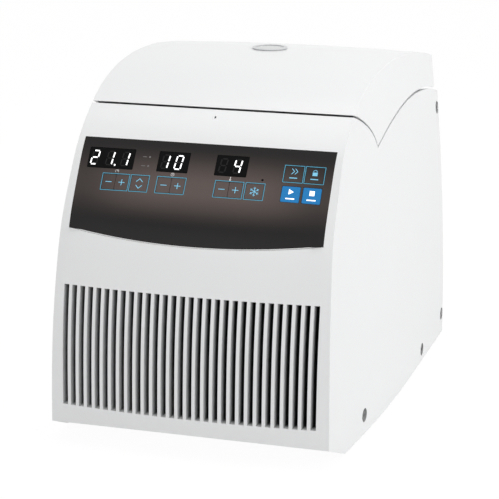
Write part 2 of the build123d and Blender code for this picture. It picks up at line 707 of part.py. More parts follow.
def drive_nodes():
    """Support frame, hung motor, shaft, rotor with its lid and knob."""
    support = block((-SUPPORT_HALF, SUPPORT_HALF), (AXIS_Y - SUPPORT_HALF, AXIS_Y + SUPPORT_HALF),
                    (SUPPORT_TOP - SUPPORT_THICKNESS, SUPPORT_TOP))
    support = fillet(support.edges().filter_by(Axis.Z), SUPPORT_CORNER)
    support = support - pillar(0, AXIS_Y, SUPPORT_HOLE, 0, FAR)
    support = support - pillar(*SUCTION_PLACE, PIPE_RADIUS + PIPE_HOLE_GAP, 0, FAR)
    legs = []
    for x in (-LEG_SPREAD, LEG_SPREAD):
        for y in (AXIS_Y - LEGS_AHEAD, AXIS_Y + LEGS_BEHIND):
            leg = block((x - LEG_SIZE / 2, x + LEG_SIZE / 2), (y - LEG_SIZE / 2, y + LEG_SIZE / 2),
                        (PAN_BOTTOM + SHEET, SUPPORT_TOP - SUPPORT_THICKNESS))
            legs.append(leg)
    under = SUPPORT_TOP - SUPPORT_THICKNESS
    dampers = []
    spots = [math.radians(45 + 90 * i) for i in range(4)]
    for turn in spots:
        x, y = DAMPER_CIRCLE * math.cos(turn), AXIS_Y + DAMPER_CIRCLE * math.sin(turn)
        waist = ring(x, y, DAMPER_RADIUS - DAMPER_WAIST_DEPTH, DAMPER_RADIUS + 1,
                     under - DAMPER_HEIGHT * DAMPER_WAIST[1], under - DAMPER_HEIGHT * DAMPER_WAIST[0])
        dampers.append(pillar(x, y, DAMPER_RADIUS, under - DAMPER_HEIGHT, under) - waist)
    plate_top = under - DAMPER_HEIGHT
    plate = pillar(0, AXIS_Y, DAMPER_CIRCLE + MOTOR_PLATE_EDGE, plate_top - MOTOR_PLATE_THICKNESS, plate_top)
    plate = plate - pillar(0, AXIS_Y, MOTOR_PLATE_HOLE, 0, FAR)
    motor_top = plate_top - MOTOR_PLATE_THICKNESS
    motor = pillar(0, AXIS_Y, MOTOR_RADIUS, motor_top - MOTOR_HEIGHT, motor_top)
    motor = chamfer(motor.edges().group_by(Axis.Z)[0], MOTOR_BEVEL)
    ribs = []
    for i in range(RIB_COUNT):
        rib = Pos(0, AXIS_Y, 0) * Rot(0, 0, 360 * i / RIB_COUNT) * block(
            (MOTOR_RADIUS - RIB_ROOT, MOTOR_RADIUS + RIB_STAND), (-RIB_HALF_WIDTH, RIB_HALF_WIDTH),
            (motor_top - MOTOR_HEIGHT + RIB_FOOT_GAP, motor_top - RIB_HEAD_GAP))
        ribs.append(rib)
    shaft_foot = motor_top - SHAFT_IN_MOTOR
    motor = motor + ribs - pillar(0, AXIS_Y, SHAFT_RADIUS + SHAFT_RUNNING_GAP, shaft_foot - 1, FAR)
    shaft_top = ROTOR_TOP - SHAFT_BELOW_RIM
    shaft = pillar(0, AXIS_Y, SHAFT_RADIUS, shaft_foot, shaft_top)
    collar_foot = BOWL_FLOOR + SHAFT_COLLAR_FOOT
    shaft = shaft + pillar(0, AXIS_Y, SHAFT_RADIUS + SHAFT_COLLAR, collar_foot, ROTOR_BOTTOM)

    mouth_z = ROTOR_DISH + (POCKET_MOUTH_RADIUS - ROTOR_DISH_RADIUS)
    bore = SHAFT_RADIUS + ROTOR_BORE_GAP
    profile = [(bore, ROTOR_BOTTOM), (ROTOR_RADIUS - ROTOR_FOOT_BEVEL, ROTOR_BOTTOM),
               (ROTOR_RADIUS, ROTOR_BOTTOM + ROTOR_FOOT_BEVEL), (ROTOR_RADIUS, ROTOR_TOP - ROTOR_RIM_HEIGHT),
               (ROTOR_RADIUS - ROTOR_RIM_TAPER, ROTOR_TOP),
               (POCKET_MOUTH_RADIUS + ROTOR_TOP - mouth_z, ROTOR_TOP), (ROTOR_DISH_RADIUS, ROTOR_DISH),
               (ROTOR_HUB_RADIUS, ROTOR_DISH), (ROTOR_HUB_RADIUS, shaft_top), (bore, shaft_top)]
    outline = Polyline(*[(r, 0, z) for r, z in profile], close=True)
    rotor = Pos(0, AXIS_Y, 0) * revolve(Face(Wire(outline)), Axis.Z)
    pockets = []
    for i in range(POCKET_COUNT):
        pocket = Rot(0, 180 - POCKET_ANGLE, 0) * Pos(0, 0, (POCKET_DEPTH - POCKET_LEAD) / 2) * Cylinder(
            POCKET_RADIUS, POCKET_DEPTH + POCKET_LEAD)
        place = Pos(0, AXIS_Y, 0) * Rot(0, 0, 360 * i / POCKET_COUNT) * Pos(POCKET_MOUTH_RADIUS, 0, mouth_z)
        pockets.append(place * pocket)
    rotor = rotor - pockets
    lid_low = ROTOR_TOP
    lid_top = lid_low + ROTOR_LID_THICKNESS
    lid = pillar(0, AXIS_Y, ROTOR_LID_RADIUS, lid_low, lid_top)
    lid = fillet(lid.edges().group_by(Axis.Z)[-1], ROTOR_LID_ROUND)
    lid = lid - pillar(0, AXIS_Y, ROTOR_LID_BORE, 0, FAR)
    knob_foot = lid_top + FIT_GAP
    stem_top = knob_foot + KNOB_HEIGHT / 2
    nut = pillar(0, AXIS_Y, NUT_RADIUS, shaft_top, ROTOR_TOP)
    stem = pillar(0, AXIS_Y, STEM_RADIUS, ROTOR_TOP, stem_top)
    knob = pillar(0, AXIS_Y, KNOB_RADIUS, knob_foot, knob_foot + KNOB_HEIGHT)
    bites = []
    for i in range(KNOB_LOBES):
        turn = 2 * math.pi * i / KNOB_LOBES
        reach = KNOB_RADIUS + KNOB_BITE_OUT
        x, y = reach * math.cos(turn), AXIS_Y + reach * math.sin(turn)
        bites.append(pillar(x, y, KNOB_BITE_RADIUS, lid_top + KNOB_SKIRT, FAR))
    knob = fillet(knob.edges().group_by(Axis.Z)[-1], KNOB_ROUND) - bites
    knob = knob - pillar(0, AXIS_Y, STEM_RADIUS + SHAFT_RUNNING_GAP, 0, stem_top + FIT_GAP)
    return {
        "support_frame": support + legs,
        "rubber_mounts": dampers + compressor_grommets(),
        "motor_body": motor + plate,
        "motor_shaft": shaft,
        "rotor_body": rotor,
        "rotor_lid": lid,
        "rotor_nut": nut + stem,
        "rotor_knob": knob,
    }


def lid_nodes():
    """Lid shell, its inner tray, the round port, hinges and the latch."""
    cavity = barrel(WALL) & flanks(WALL, LID_REAR - WALL, LID_REAR_CORNER)
    shell = (OUTER & LID_SPACE) - cavity
    shell = shell - pillar(0, AXIS_Y, PORT_RADIUS + PORT_RING_WALL + FIT_GAP, 0, FAR)
    liner_x = (-LINER_HALF_WIDTH, LINER_HALF_WIDTH)
    liner_y = (LINER_FRONT, LINER_REAR)
    tray = block(liner_x, liner_y, (LINER_BOTTOM, LINER_TOP))
    tray = fillet(tray.edges().filter_by(Axis.Z), LINER_CORNER)
    hollow = block((-LINER_HALF_WIDTH + LINER_WALL, LINER_HALF_WIDTH - LINER_WALL),
                   (LINER_FRONT + LINER_WALL, LINER_REAR - LINER_WALL), (LINER_BOTTOM + LINER_WALL, FAR))
    hollow = fillet(hollow.edges().filter_by(Axis.Z), LINER_CORNER - LINER_WALL)
    inside = WALL + FIT_GAP
    lid_clear = barrel(inside) & flanks(inside, LID_REAR - inside, LID_REAR_CORNER)
    rim = block((-FAR, FAR), (LINER_RIM_FRONT, FAR), (LINER_TOP - LINER_WALL, LINER_TOP))
    liner = ((tray + rim) & lid_clear) - hollow
    liner = liner - pillar(0, AXIS_Y, PORT_RADIUS + PORT_RING_WALL + FIT_GAP, 0, FAR)
    crown_top = LID_TOP_AT_AXIS + LID_CROWN
    port_top = crown_top + PORT_STAND
    port_out = PORT_RADIUS + PORT_RING_WALL
    port_ring = ring(0, AXIS_Y, PORT_RADIUS + PORT_FIT, port_out, LINER_BOTTOM + PORT_FOOT_GAP, port_top)
    bead = ring(0, AXIS_Y, PORT_RADIUS + PORT_FIT, port_out + PORT_BEAD_WIDTH, port_top - PORT_BEAD_HEIGHT,
                port_top)
    window = pillar(0, AXIS_Y, PORT_RADIUS, crown_top - WINDOW_DEPTH, port_top - WINDOW_SINK)
    arms = []
    brackets = []
    pins = []
    for centre in (-HINGE_OFFSET, HINGE_OFFSET):
        low, high = centre - KNUCKLE_LENGTH / 2, centre + KNUCKLE_LENGTH / 2
        arm = bar_x(HINGE_Y, HINGE_Z, KNUCKLE_RADIUS, low, high)
        arm_foot = HINGE_Z + ARM_RISE
        arm = arm + block((low, high), (LID_REAR, HINGE_Y), (arm_foot, HINGE_Z + KNUCKLE_RADIUS))
        arm = arm + block((low - ARM_PLATE_SIDE, high + ARM_PLATE_SIDE),
                          (LID_REAR, LID_REAR + ARM_PLATE_THICKNESS), (arm_foot, HINGE_Z + ARM_PLATE_HEIGHT))
        arms.append(arm - bar_x(HINGE_Y, HINGE_Z, HINGE_PIN_RADIUS + PIN_RUNNING_GAP, low - 9, high + 9))
        outer_low = low - EAR_GAP - EAR_THICKNESS
        outer_high = high + EAR_GAP + EAR_THICKNESS
        for ear in ((outer_low, low - EAR_GAP), (high + EAR_GAP, outer_high)):
            plate = block(ear, (HINGE_Y - EAR_RADIUS, HINGE_Y + EAR_RADIUS),
                          (HOUSING_REAR_HEIGHT - EAR_ROOT, HINGE_Z))
            plate = plate + bar_x(HINGE_Y, HINGE_Z, EAR_RADIUS, *ear)
            pin_hole = bar_x(HINGE_Y, HINGE_Z, HINGE_PIN_RADIUS + PIN_EAR_GAP, outer_low, outer_high)
            brackets.append(plate - pin_hole)
        pin = bar_x(HINGE_Y, HINGE_Z, HINGE_PIN_RADIUS, outer_low, outer_high)
        for end in (outer_low - PIN_HEAD_THICKNESS, outer_high):
            head_radius = HINGE_PIN_RADIUS + PIN_HEAD_WIDTH
            pin = pin + bar_x(HINGE_Y, HINGE_Z, head_radius, end, end + PIN_HEAD_THICKNESS)
        pins.append(pin)
    beam_space = INNER_CLEAR & HOUSING_SPACE
    beam_front = LID_REAR + BEAM_FRONT_WALL
    beam = beam_space & block((-FAR, FAR), (beam_front, REAR_FACE), (DECK_TOP, HOUSING_REAR_HEIGHT))
    beam = beam - block((-HINGE_OFFSET - BEAM_HOLLOW_SIDE, HINGE_OFFSET + BEAM_HOLLOW_SIDE),
                        (beam_front + BEAM_FRONT_WALL, REAR_FACE - BEAM_REAR_WALL),
                        (DECK_TOP - 1, HOUSING_REAR_HEIGHT - WALL))
    hook = block((-HOOK_WIDTH / 2, HOOK_WIDTH / 2), (HOOK_Y, HOOK_Y + HOOK_THICKNESS),
                 (HOOK_TIP, LINER_BOTTOM))
    foot_side, foot_end, foot_height = HOOK_FOOT
    hook = hook + block((-HOOK_WIDTH / 2 - foot_side, HOOK_WIDTH / 2 + foot_side),
                        (HOOK_Y - foot_end, HOOK_Y + HOOK_THICKNESS + foot_end),
                        (LINER_BOTTOM - foot_height, LINER_BOTTOM))
    half_window, window_low, window_high = HOOK_WINDOW
    hook = hook - block((-half_window, half_window), (-FAR, FAR),
                        (HOOK_TIP + window_low, HOOK_TIP + window_high))
    return {
        "lid_shell": shell,
        "lid_liner": liner,
        "port_ring": port_ring + bead,
        "port_window": window,
        "hinge_arms": arms,
        "hinge_pins": pins,
        "hinge_beam": beam + brackets,
        "latch_hook": hook,
    }


def compressor_grommets():
    """The four rubber pads under the compressor's foot plate."""
    x, y = COMPRESSOR_PLACE
    top = PAN_BOTTOM + SHEET + GROMMET_HEIGHT - COMPRESSOR_FOOT
    grommets = []
    for dx in (-GROMMET_SPREAD, GROMMET_SPREAD):
        for dy in (-GROMMET_SPREAD, GROMMET_SPREAD):
            grommets.append(pillar(x + dx, y + dy, GROMMET_RADIUS, PAN_BOTTOM + SHEET, top))
    return grommets


def clear_of_can(x):
    """Where a pipe that meets the compressor's front at x ends, just short of it."""
    middle_x, middle_y = COMPRESSOR_PLACE
    nearest = abs(x - middle_x) - PIPE_RADIUS
    return middle_y - math.sqrt(COMPRESSOR_RADIUS ** 2 - nearest ** 2) - FIT_GAP


def cooling_nodes():
    """Condenser, fan, compressor, pipes and drier behind the grille and under the chamber."""
    wide, deep, tall = CONDENSER_SIZE
    rear = CONDENSER_FRONT + deep
    middle_z = CONDENSER_BOTTOM + tall / 2
    core = block((-wide / 2, wide / 2), (CONDENSER_FRONT, rear), (CONDENSER_BOTTOM, CONDENSER_BOTTOM + tall))
    grooves = []
    fin_pitch = (wide - 2 * FIN_EDGE) / FIN_COUNT
    half_groove = fin_pitch * FIN_GROOVE_SHARE
    for i in range(FIN_COUNT):
        x = (i - (FIN_COUNT - 1) / 2) * fin_pitch
        for low in (CONDENSER_FRONT - 1, rear - FIN_GROOVE_DEPTH):
            grooves.append(block((x - half_groove, x + half_groove), (low, low + FIN_GROOVE_DEPTH + 1),
                                 (CONDENSER_BOTTOM + FIN_END, CONDENSER_BOTTOM + tall - FIN_END)))
    feet = []
    foot_width, foot_inset = CONDENSER_FOOT
    for x in (-wide / 2, wide / 2 - foot_width):
        feet.append(block((x, x + foot_width), (CONDENSER_FRONT + foot_inset, rear),
                          (PAN_BOTTOM + SHEET, CONDENSER_BOTTOM)))
    frame_front = rear + FIT_GAP
    frame_rear = frame_front + FAN_DEPTH
    half = FAN_SIZE / 2
    frame = block((-half, half), (frame_front, frame_rear), (middle_z - half, middle_z + half))
    frame = fillet(frame.edges().filter_by(Axis.Y), FAN_CORNER) - bar_y(0, middle_z, FAN_BORE, -FAR, FAR)
    boss = bar_y(0, middle_z, FAN_HUB_RADIUS - 3, frame_rear - FAN_BOSS_DEPTH, frame_rear)
    spokes = []
    spoke_depth, half_spoke = FAN_SPOKE
    for i in range(FAN_SPOKES):
        spoke = block((FAN_HUB_RADIUS - 6, FAN_BORE + 2), (frame_rear - spoke_depth, frame_rear),
                      (-half_spoke, half_spoke))
        spokes.append(Pos(0, 0, middle_z) * Rot(0, 45 + 360 * i / FAN_SPOKES, 0) * spoke)
    frame = frame + boss + spokes
    stand = block((-half, half), (frame_front + FAN_STAND_INSET, frame_rear - FAN_STAND_INSET),
                  (PAN_BOTTOM + SHEET, middle_z - half))
    hub_front = frame_front + FAN_HUB_FRONT
    hub_rear = frame_rear - FAN_BOSS_DEPTH - FIT_GAP
    hub = bar_y(0, middle_z, FAN_HUB_RADIUS, hub_front, hub_rear)
    hub = fillet(hub.edges().group_by(Axis.Y)[0], FAN_HUB_ROUND)
    blades = []
    blade_length = FAN_BORE - FAN_HUB_RADIUS - 2 * BLADE_TIP_GAP
    blade_middle = FAN_HUB_RADIUS - BLADE_TIP_GAP + blade_length / 2
    for i in range(FAN_BLADES):
        blade = Box(blade_length, BLADE_THICKNESS, BLADE_CHORD)
        blade = Pos(blade_middle, 0, 0) * Rot(BLADE_PITCH, 0, 0) * blade
        spin = Rot(0, 360 * i / FAN_BLADES, 0)
        blades.append(Pos(0, (hub_front + hub_rear) / 2, middle_z) * spin * blade)
    fan = hub + blades

    x, y = COMPRESSOR_PLACE
    base = PAN_BOTTOM + SHEET + GROMMET_HEIGHT
    can = pillar(x, y, COMPRESSOR_RADIUS, base, base + COMPRESSOR_HEIGHT)
    can = fillet(can.edges().group_by(Axis.Z)[-1], COMPRESSOR_DOME)
    seam_low, seam_high = COMPRESSOR_SEAM
    can = can + pillar(x, y, COMPRESSOR_RADIUS + COMPRESSOR_SEAM_STAND, base + seam_low, base + seam_high)
    foot = block((x - COMPRESSOR_FOOT_HALF, x + COMPRESSOR_FOOT_HALF),
                 (y - COMPRESSOR_FOOT_HALF, y + COMPRESSOR_FOOT_HALF), (base - COMPRESSOR_FOOT, base))
    foot = fillet(foot.edges().filter_by(Axis.Z), COMPRESSOR_FOOT_CORNER)
    end_y = rear - SUPPLY_END_IN
    end_z = base + SUPPLY_END_HEIGHT
    supply_z = base + SUPPLY_HEIGHT
    supply_out = x + SUPPLY_FROM_CAN
    first_y, second_y, third_y = SUPPLY_TURNS_Y
    supply_path = FilletPolyline(
        (supply_out, clear_of_can(supply_out), supply_z), (supply_out, first_y, supply_z),
        (SUPPLY_X, second_y, supply_z), (SUPPLY_X, third_y, supply_z), (SUPPLY_X, end_y, end_z),
        (-wide / 2 - FIT_GAP, end_y, end_z), radius=PIPE_BEND)
    supply_start = Plane(origin=supply_path @ 0, z_dir=supply_path % 0)
    supply = sweep(supply_start * Circle(PIPE_RADIUS), supply_path)
    suction_x, suction_y = SUCTION_PLACE
    suction_path = FilletPolyline(
        (suction_x, clear_of_can(suction_x), base + SUCTION_HEIGHT),
        (suction_x, suction_y, base + SUCTION_HEIGHT), (suction_x, suction_y, SUPPORT_TOP), radius=PIPE_BEND)
    suction_start = Plane(origin=suction_path @ 0, z_dir=suction_path % 0)
    suction = sweep(suction_start * Circle(PIPE_RADIUS), suction_path)
    drier_x = SUPPLY_X + DRIER_SHIFT
    drier_z = base + DRIER_HEIGHT
    drier = bar_y(drier_x, drier_z, DRIER_RADIUS, DRIER_FRONT, DRIER_FRONT + DRIER_LENGTH)
    drier = chamfer(drier.edges().filter_by(GeomType.CIRCLE), DRIER_BEVEL)
    clip = block((drier_x - CLIP_HALF_WIDTH, drier_x + CLIP_HALF_WIDTH), CLIP_Y,
                 (PAN_BOTTOM + SHEET, drier_z - DRIER_RADIUS + 1))
    clip = clip - bar_y(SUPPLY_X, supply_z, PIPE_RADIUS + FIT_GAP, CLIP_Y[0] - 10, CLIP_Y[1] + 10)
    return {
        "condenser": core - grooves + feet,
        "fan_frame": frame + stand,
        "fan_rotor": fan,
        "compressor": can + foot,
        "refrigerant_pipes": [supply, suction],
        "filter_drier": drier + clip,
    }


def electrical_nodes():
    """Mains inlet, rocker switch, power supply and drive board."""
    x, z = INLET_PLACE
    half_w, half_h = INLET_SIZE[0] / 2 - REAR_PART_GAP, INLET_SIZE[1] / 2 - REAR_PART_GAP
    inlet = block((x - half_w, x + half_w), (REAR_FACE - INLET_DEPTH, REAR_FACE), (z - half_h, z + half_h))
    rim_w, rim_h = INLET_SIZE[0] / 2 + INLET_RIM, INLET_SIZE[1] / 2 + INLET_RIM
    flange = block((x - rim_w, x + rim_w), (REAR_FACE, DEPTH / 2), (z - rim_h, z + rim_h))
    flange = fillet(flange.edges().filter_by(Axis.Y), INLET_RIM)
    socket = block((x - SOCKET_HALF[0], x + SOCKET_HALF[0]), (REAR_FACE - SOCKET_DEPTH, FAR),
                   (z - SOCKET_HALF[1], z + SOCKET_HALF[1]))
    socket = chamfer(socket.edges().filter_by(Axis.Y).group_by(Axis.Z)[-1], SOCKET_BEVEL)
    contacts = []
    for dx, dz in CONTACTS:
        contacts.append(block((x + dx - CONTACT_HALF[0], x + dx + CONTACT_HALF[0]),
                              (REAR_FACE - SOCKET_DEPTH - 1, REAR_FACE - CONTACT_BEHIND_MOUTH),
                              (z + dz - CONTACT_HALF[1], z + dz + CONTACT_HALF[1])))
    sx, sz = SWITCH_PLACE
    half_w, half_h = SWITCH_SIZE[0] / 2, SWITCH_SIZE[1] / 2
    frame = block((sx - half_w + REAR_PART_GAP, sx + half_w - REAR_PART_GAP),
                  (REAR_FACE - SWITCH_DEPTH, REAR_FACE),
                  (sz - half_h + REAR_PART_GAP, sz + half_h - REAR_PART_GAP))
    rim_width, rim_stand = SWITCH_RIM
    bezel = block((sx - half_w - rim_width, sx + half_w + rim_width), (REAR_FACE, REAR_FACE + rim_stand),
                  (sz - half_h - rim_width, sz + half_h + rim_width))
    well = block((sx - half_w + SWITCH_WALL, sx + half_w - SWITCH_WALL), (REAR_FACE - SWITCH_WELL_DEPTH, FAR),
                 (sz - half_h + SWITCH_WALL, sz + half_h - SWITCH_WALL))
    pivot_y = REAR_FACE - ROCKER_PIVOT_DEPTH
    pivot = bar_x(pivot_y, sz, ROCKER_PIVOT_RADIUS, sx - half_w + 1, sx + half_w - 1)
    rocker = block((sx - half_w + ROCKER_SIDE_GAP, sx + half_w - ROCKER_SIDE_GAP),
                   (pivot_y - ROCKER_BACK, pivot_y + ROCKER_FACE),
                   (sz - half_h + ROCKER_END_GAP, sz + half_h - ROCKER_END_GAP))
    dish = bar_x(pivot_y + ROCKER_DISH_OUT, sz, ROCKER_DISH_RADIUS, sx - 2 * half_w, sx + 2 * half_w)
    rocker = rocker - dish - bar_x(pivot_y, sz, ROCKER_PIVOT_RADIUS + SHAFT_RUNNING_GAP, sx - 2 * half_w,
                                   sx + 2 * half_w)
    rocker = Pos(0, pivot_y, sz) * Rot(ROCKER_TILT, 0, 0) * Pos(0, -pivot_y, -sz) * rocker
    box_foot = PAN_BOTTOM + SHEET
    box_top = box_foot + SUPPLY_BOX_HEIGHT
    supply = block(*SUPPLY_BOX, (box_foot, box_top))
    supply = fillet(supply.edges().filter_by(Axis.Z), SUPPLY_BOX_CORNER)
    slots = []
    for i in range(SUPPLY_SLOTS):
        low = SUPPLY_SLOT_X + SUPPLY_SLOT_PITCH * i
        slots.append(block((low, low + SUPPLY_SLOT_WIDTH), SUPPLY_SLOT_Y, (box_top - SUPPLY_SLOT_DEPTH, FAR)))
    board = block(DRIVE_BOARD_X, DRIVE_BOARD_Y, (box_foot, DRIVE_BOARD_TOP))
    sinks = []
    for i in range(SINK_FINS):
        low = SINK_FIN_Y + SINK_FIN_PITCH * i
        sinks.append(block((SINK_FIN_X, DRIVE_BOARD_X[0]), (low, low + SINK_FIN_WIDTH), SINK_FIN_Z))
    sink_rear = SINK_FIN_Y + SINK_FIN_PITCH * (SINK_FINS - 1) + SINK_FIN_WIDTH
    sinks.append(block((SINK_BACK_X, DRIVE_BOARD_X[0]), (SINK_FIN_Y - SINK_MARGIN, sink_rear + SINK_MARGIN),
                       (SINK_FIN_Z[0] - SINK_MARGIN, SINK_FIN_Z[1] + SINK_MARGIN)))
    capacitors = [bar_x(y, CAPACITOR_Z, CAPACITOR_RADIUS, CAPACITOR_X, DRIVE_BOARD_X[0]) for y in CAPACITOR_Y]
    return {
        "mains_inlet": inlet + flange - socket + contacts,
        "switch_frame": frame + bezel - well + pivot,
        "mains_rocker": rocker,
        "power_supply": supply - slots,
        "drive_board": board + sinks + capacitors,
    }


def small_nodes():
    """Feet, dust filter and the latch's lock under the deck."""
    feet = []
    for x, y in FEET:
        foot = pillar(x, y, FOOT_RADIUS, 0, PAN_BOTTOM)
        feet.append(chamfer(foot.edges().group_by(Axis.Z)[0], FOOT_BEVEL))
    half_grille = SLOT_COUNT * SLOT_PITCH / 2
    mat_front = GRILLE_BACK + FIT_GAP
    mat = block((-half_grille, half_grille), (mat_front, mat_front + FILTER_THICKNESS),
                (SLOT_BOTTOM - FILTER_EDGE, SLOT_TOP + FILTER_EDGE))
    lock_front = HOOK_Y - HOOK_SLOT_AHEAD - 1
    lock_rear = HOOK_Y + HOOK_THICKNESS + HOOK_SLOT_BEHIND + 1
    lock = block((-LOCK_HALF_WIDTH, LOCK_HALF_WIDTH), (lock_front, lock_rear),
                 (HOOK_TIP - LOCK_BELOW_TIP, DECK_TOP - DECK_THICKNESS))
    half_well = HOOK_WIDTH / 2 + HOOK_SIDE_GAP
    well = block((-half_well, half_well), (lock_front + LOCK_WALL, lock_rear - LOCK_WALL),
                 (HOOK_TIP - LOCK_WELL_DROP, FAR))
    bolt_z = HOOK_TIP + BOLT_ABOVE_TIP
    bolt_y = HOOK_Y + HOOK_THICKNESS + BOLT_BEHIND
    half_motor, motor_rise = LOCK_MOTOR
    motor = block((-half_motor, half_motor), (bolt_y + LOCK_MOTOR_Y[0], bolt_y + LOCK_MOTOR_Y[1]),
                  (bolt_z - motor_rise, bolt_z + motor_rise))
    bolt_hole = bar_y(0, bolt_z, BOLT_RADIUS + BOLT_RUNNING_GAP, -FAR, FAR)
    bolt = bar_y(0, bolt_z, BOLT_RADIUS, HOOK_Y + HOOK_THICKNESS + 1, bolt_y)
    return {
        "rubber_feet": feet,
        "dust_filter": mat,
        "latch_lock": lock + motor - well - bolt_hole,
        "latch_bolt": bolt,
    }


def pieces_of(shape):
    """Every separate solid of a shape or of a list of shapes."""
    shapes = shape if isinstance(shape, (list, ShapeList)) else [shape]
    return [solid for item in shapes for solid in item.solids()]


def main():
    """Build every node and write one STEP file each."""
    nodes = {}
    for group in (housing_nodes, control_nodes, chamber_nodes, drive_nodes, lid_nodes, cooling_nodes,
                  electrical_nodes, small_nodes):
        nodes.update(group())
    os.makedirs("parts", exist_ok=True)
    for name, shape in nodes.items():
        solids = pieces_of(shape)
        whole = solids[0] if len(solids) == 1 else Compound(children=solids)
        export_step(whole, f"parts/{name}.step")
        print(name, len(solids), round(whole.volume))


if __name__ == "__main__":
    main()
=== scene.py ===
"""Looks of a refrigerated bench centrifuge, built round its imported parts.

Metres throughout. The front looks along -Y and +Z is up, as in the parts.
"""
import json
import logging
import math
from dataclasses import dataclass, field
from enum import Enum

import bmesh
import bpy
import numpy
from mathutils import Matrix, Vector
from mathutils.bvhtree import BVHTree

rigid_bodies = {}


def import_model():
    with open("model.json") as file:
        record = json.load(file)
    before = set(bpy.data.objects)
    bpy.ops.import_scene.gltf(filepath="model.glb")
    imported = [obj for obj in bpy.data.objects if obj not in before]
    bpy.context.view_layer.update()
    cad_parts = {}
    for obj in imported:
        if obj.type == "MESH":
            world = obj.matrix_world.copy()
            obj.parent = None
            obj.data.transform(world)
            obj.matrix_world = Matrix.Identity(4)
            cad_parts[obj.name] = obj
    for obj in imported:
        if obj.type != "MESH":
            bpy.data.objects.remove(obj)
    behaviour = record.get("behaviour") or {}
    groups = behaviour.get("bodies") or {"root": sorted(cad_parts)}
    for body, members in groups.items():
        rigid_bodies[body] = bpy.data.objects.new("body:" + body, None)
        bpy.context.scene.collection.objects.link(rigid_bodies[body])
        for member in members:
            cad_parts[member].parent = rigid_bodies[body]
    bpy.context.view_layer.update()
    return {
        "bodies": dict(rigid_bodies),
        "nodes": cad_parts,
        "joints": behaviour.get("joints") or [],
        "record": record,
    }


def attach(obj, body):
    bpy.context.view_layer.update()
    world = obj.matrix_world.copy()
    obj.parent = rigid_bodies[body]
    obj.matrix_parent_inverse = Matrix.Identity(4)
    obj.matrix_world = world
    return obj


LOG = logging.getLogger("centrifuge")
MM = 0.001
ROTOR_AXIS_Y = 42 * MM

Colour = tuple[float, float, float]
Place = tuple[float, float, float]
Point = tuple[float, float]


class Socket:
    """A shader output that takes part in arithmetic."""

    def __init__(self, graph: "Graph", output: bpy.types.NodeSocket | None) -> None:
        """Wrap an output of a node in a graph."""
        self.graph = graph
        self.output = output

    def _math(self, operation: str, first: object, second: object) -> "Socket":
        """Add one Math node."""
        return self.graph.node("ShaderNodeMath", {"operation": operation}, {0: first, 1: second})

    def __add__(self, other: object) -> "Socket":
        """Sum."""
        return self._math("ADD", self, other)

    def __radd__(self, other: object) -> "Socket":
        """Sum with the number first."""
        return self._math("ADD", other, self)

    def __sub__(self, other: object) -> "Socket":
        """Difference."""
        return self._math("SUBTRACT", self, other)

    def __rsub__(self, other: object) -> "Socket":
        """Difference with the number first."""
        return self._math("SUBTRACT", other, self)

    def __mul__(self, other: object) -> "Socket":
        """Product."""
        return self._math("MULTIPLY", self, other)

    def __rmul__(self, other: object) -> "Socket":
        """Product with the number first."""
        return self._math("MULTIPLY", other, self)

    def __pow__(self, other: object) -> "Socket":
        """Power."""
        return self._math("POWER", self, other)


class Graph:
    """A shader node tree and the few ways in which nodes are added to it."""

    def __init__(self, owner: bpy.types.Material | bpy.types.World) -> None:
        """Empty the node tree of a material or a world.

        Args:
            owner: What the tree belongs to.
        """
        owner.use_nodes = True
        self.tree = owner.node_tree
        self.tree.nodes.clear()

    def node(self, kind: str, settings: dict | None = None, inputs: dict | None = None,
             out: int | str = 0) -> Socket:
        """Add a node.

        Args:
            kind: The node's type.
            settings: Its properties, which are set first.
            inputs: A value or a Socket for each input, by name or number.
            out: The output to return.

        Returns:
            The chosen output.
        """
        made = self.tree.nodes.new(kind)
        for key, value in (settings or {}).items():
            setattr(made, key, value)
        for key, value in (inputs or {}).items():
            if isinstance(value, Socket):
                self.tree.links.new(value.output, made.inputs[key])
            else:
                made.inputs[key].default_value = value
        return Socket(self, made.outputs[out] if made.outputs else None)

    def mix(self, factor: object, first: object, second: object) -> Socket:
        """Blend two colours, each a Socket or three numbers, by a factor."""
        ends = [end if isinstance(end, Socket) else (*end, 1.0) for end in (first, second)]
        return self.node("ShaderNodeMix", {"data_type": "RGBA"}, {0: factor, 6: ends[0], 7: ends[1]}, 2)

    def step(self, value: Socket, low: float, high: float) -> Socket:
        """Rise smoothly from 0 at low to 1 at high."""
        return self.node("ShaderNodeMapRange", {"interpolation_type": "SMOOTHSTEP"},
                         {"Value": value, "From Min": low, "From Max": high})

    def noise(self, vector: Socket, scale: float, detail: float = 3.0) -> Socket:
        """Noise between 0 and 1 over a vector."""
        return self.node("ShaderNodeTexNoise", None, {"Vector": vector, "Scale": scale, "Detail": detail})

    def place(self) -> Socket:
        """The object's own coordinates."""
        return self.node("ShaderNodeTexCoord", None, None, "Object")

    def split(self, vector: Socket) -> tuple[Socket, Socket, Socket]:
        """Take a vector apart.

        Args:
            vector: The vector.

        Returns:
            Its three parts.
        """
        first = self.node("ShaderNodeSeparateXYZ", None, {0: vector}, 0)
        outputs = first.output.node.outputs
        return first, Socket(self, outputs[1]), Socket(self, outputs[2])

    def seen(self) -> Socket:
        """Tell which rays show the background, seen straight, mirrored or through glass.

        Returns:
            1 for such rays and 0 for the others.
        """
        straight = self.node("ShaderNodeLightPath", None, None, "Is Camera Ray")
        outputs = straight.output.node.outputs
        mirrored = Socket(self, outputs["Is Glossy Ray"])
        through = Socket(self, outputs["Is Transmission Ray"])
        kinds = straight + mirrored + through
        return self.node("ShaderNodeMath", {"operation": "MINIMUM"}, {0: kinds, 1: 1.0})

    def close(self, shader: Socket, kind: str = "ShaderNodeOutputMaterial") -> None:
        """Join a shader to a new output."""
        self.node(kind, None, {"Surface": shader})


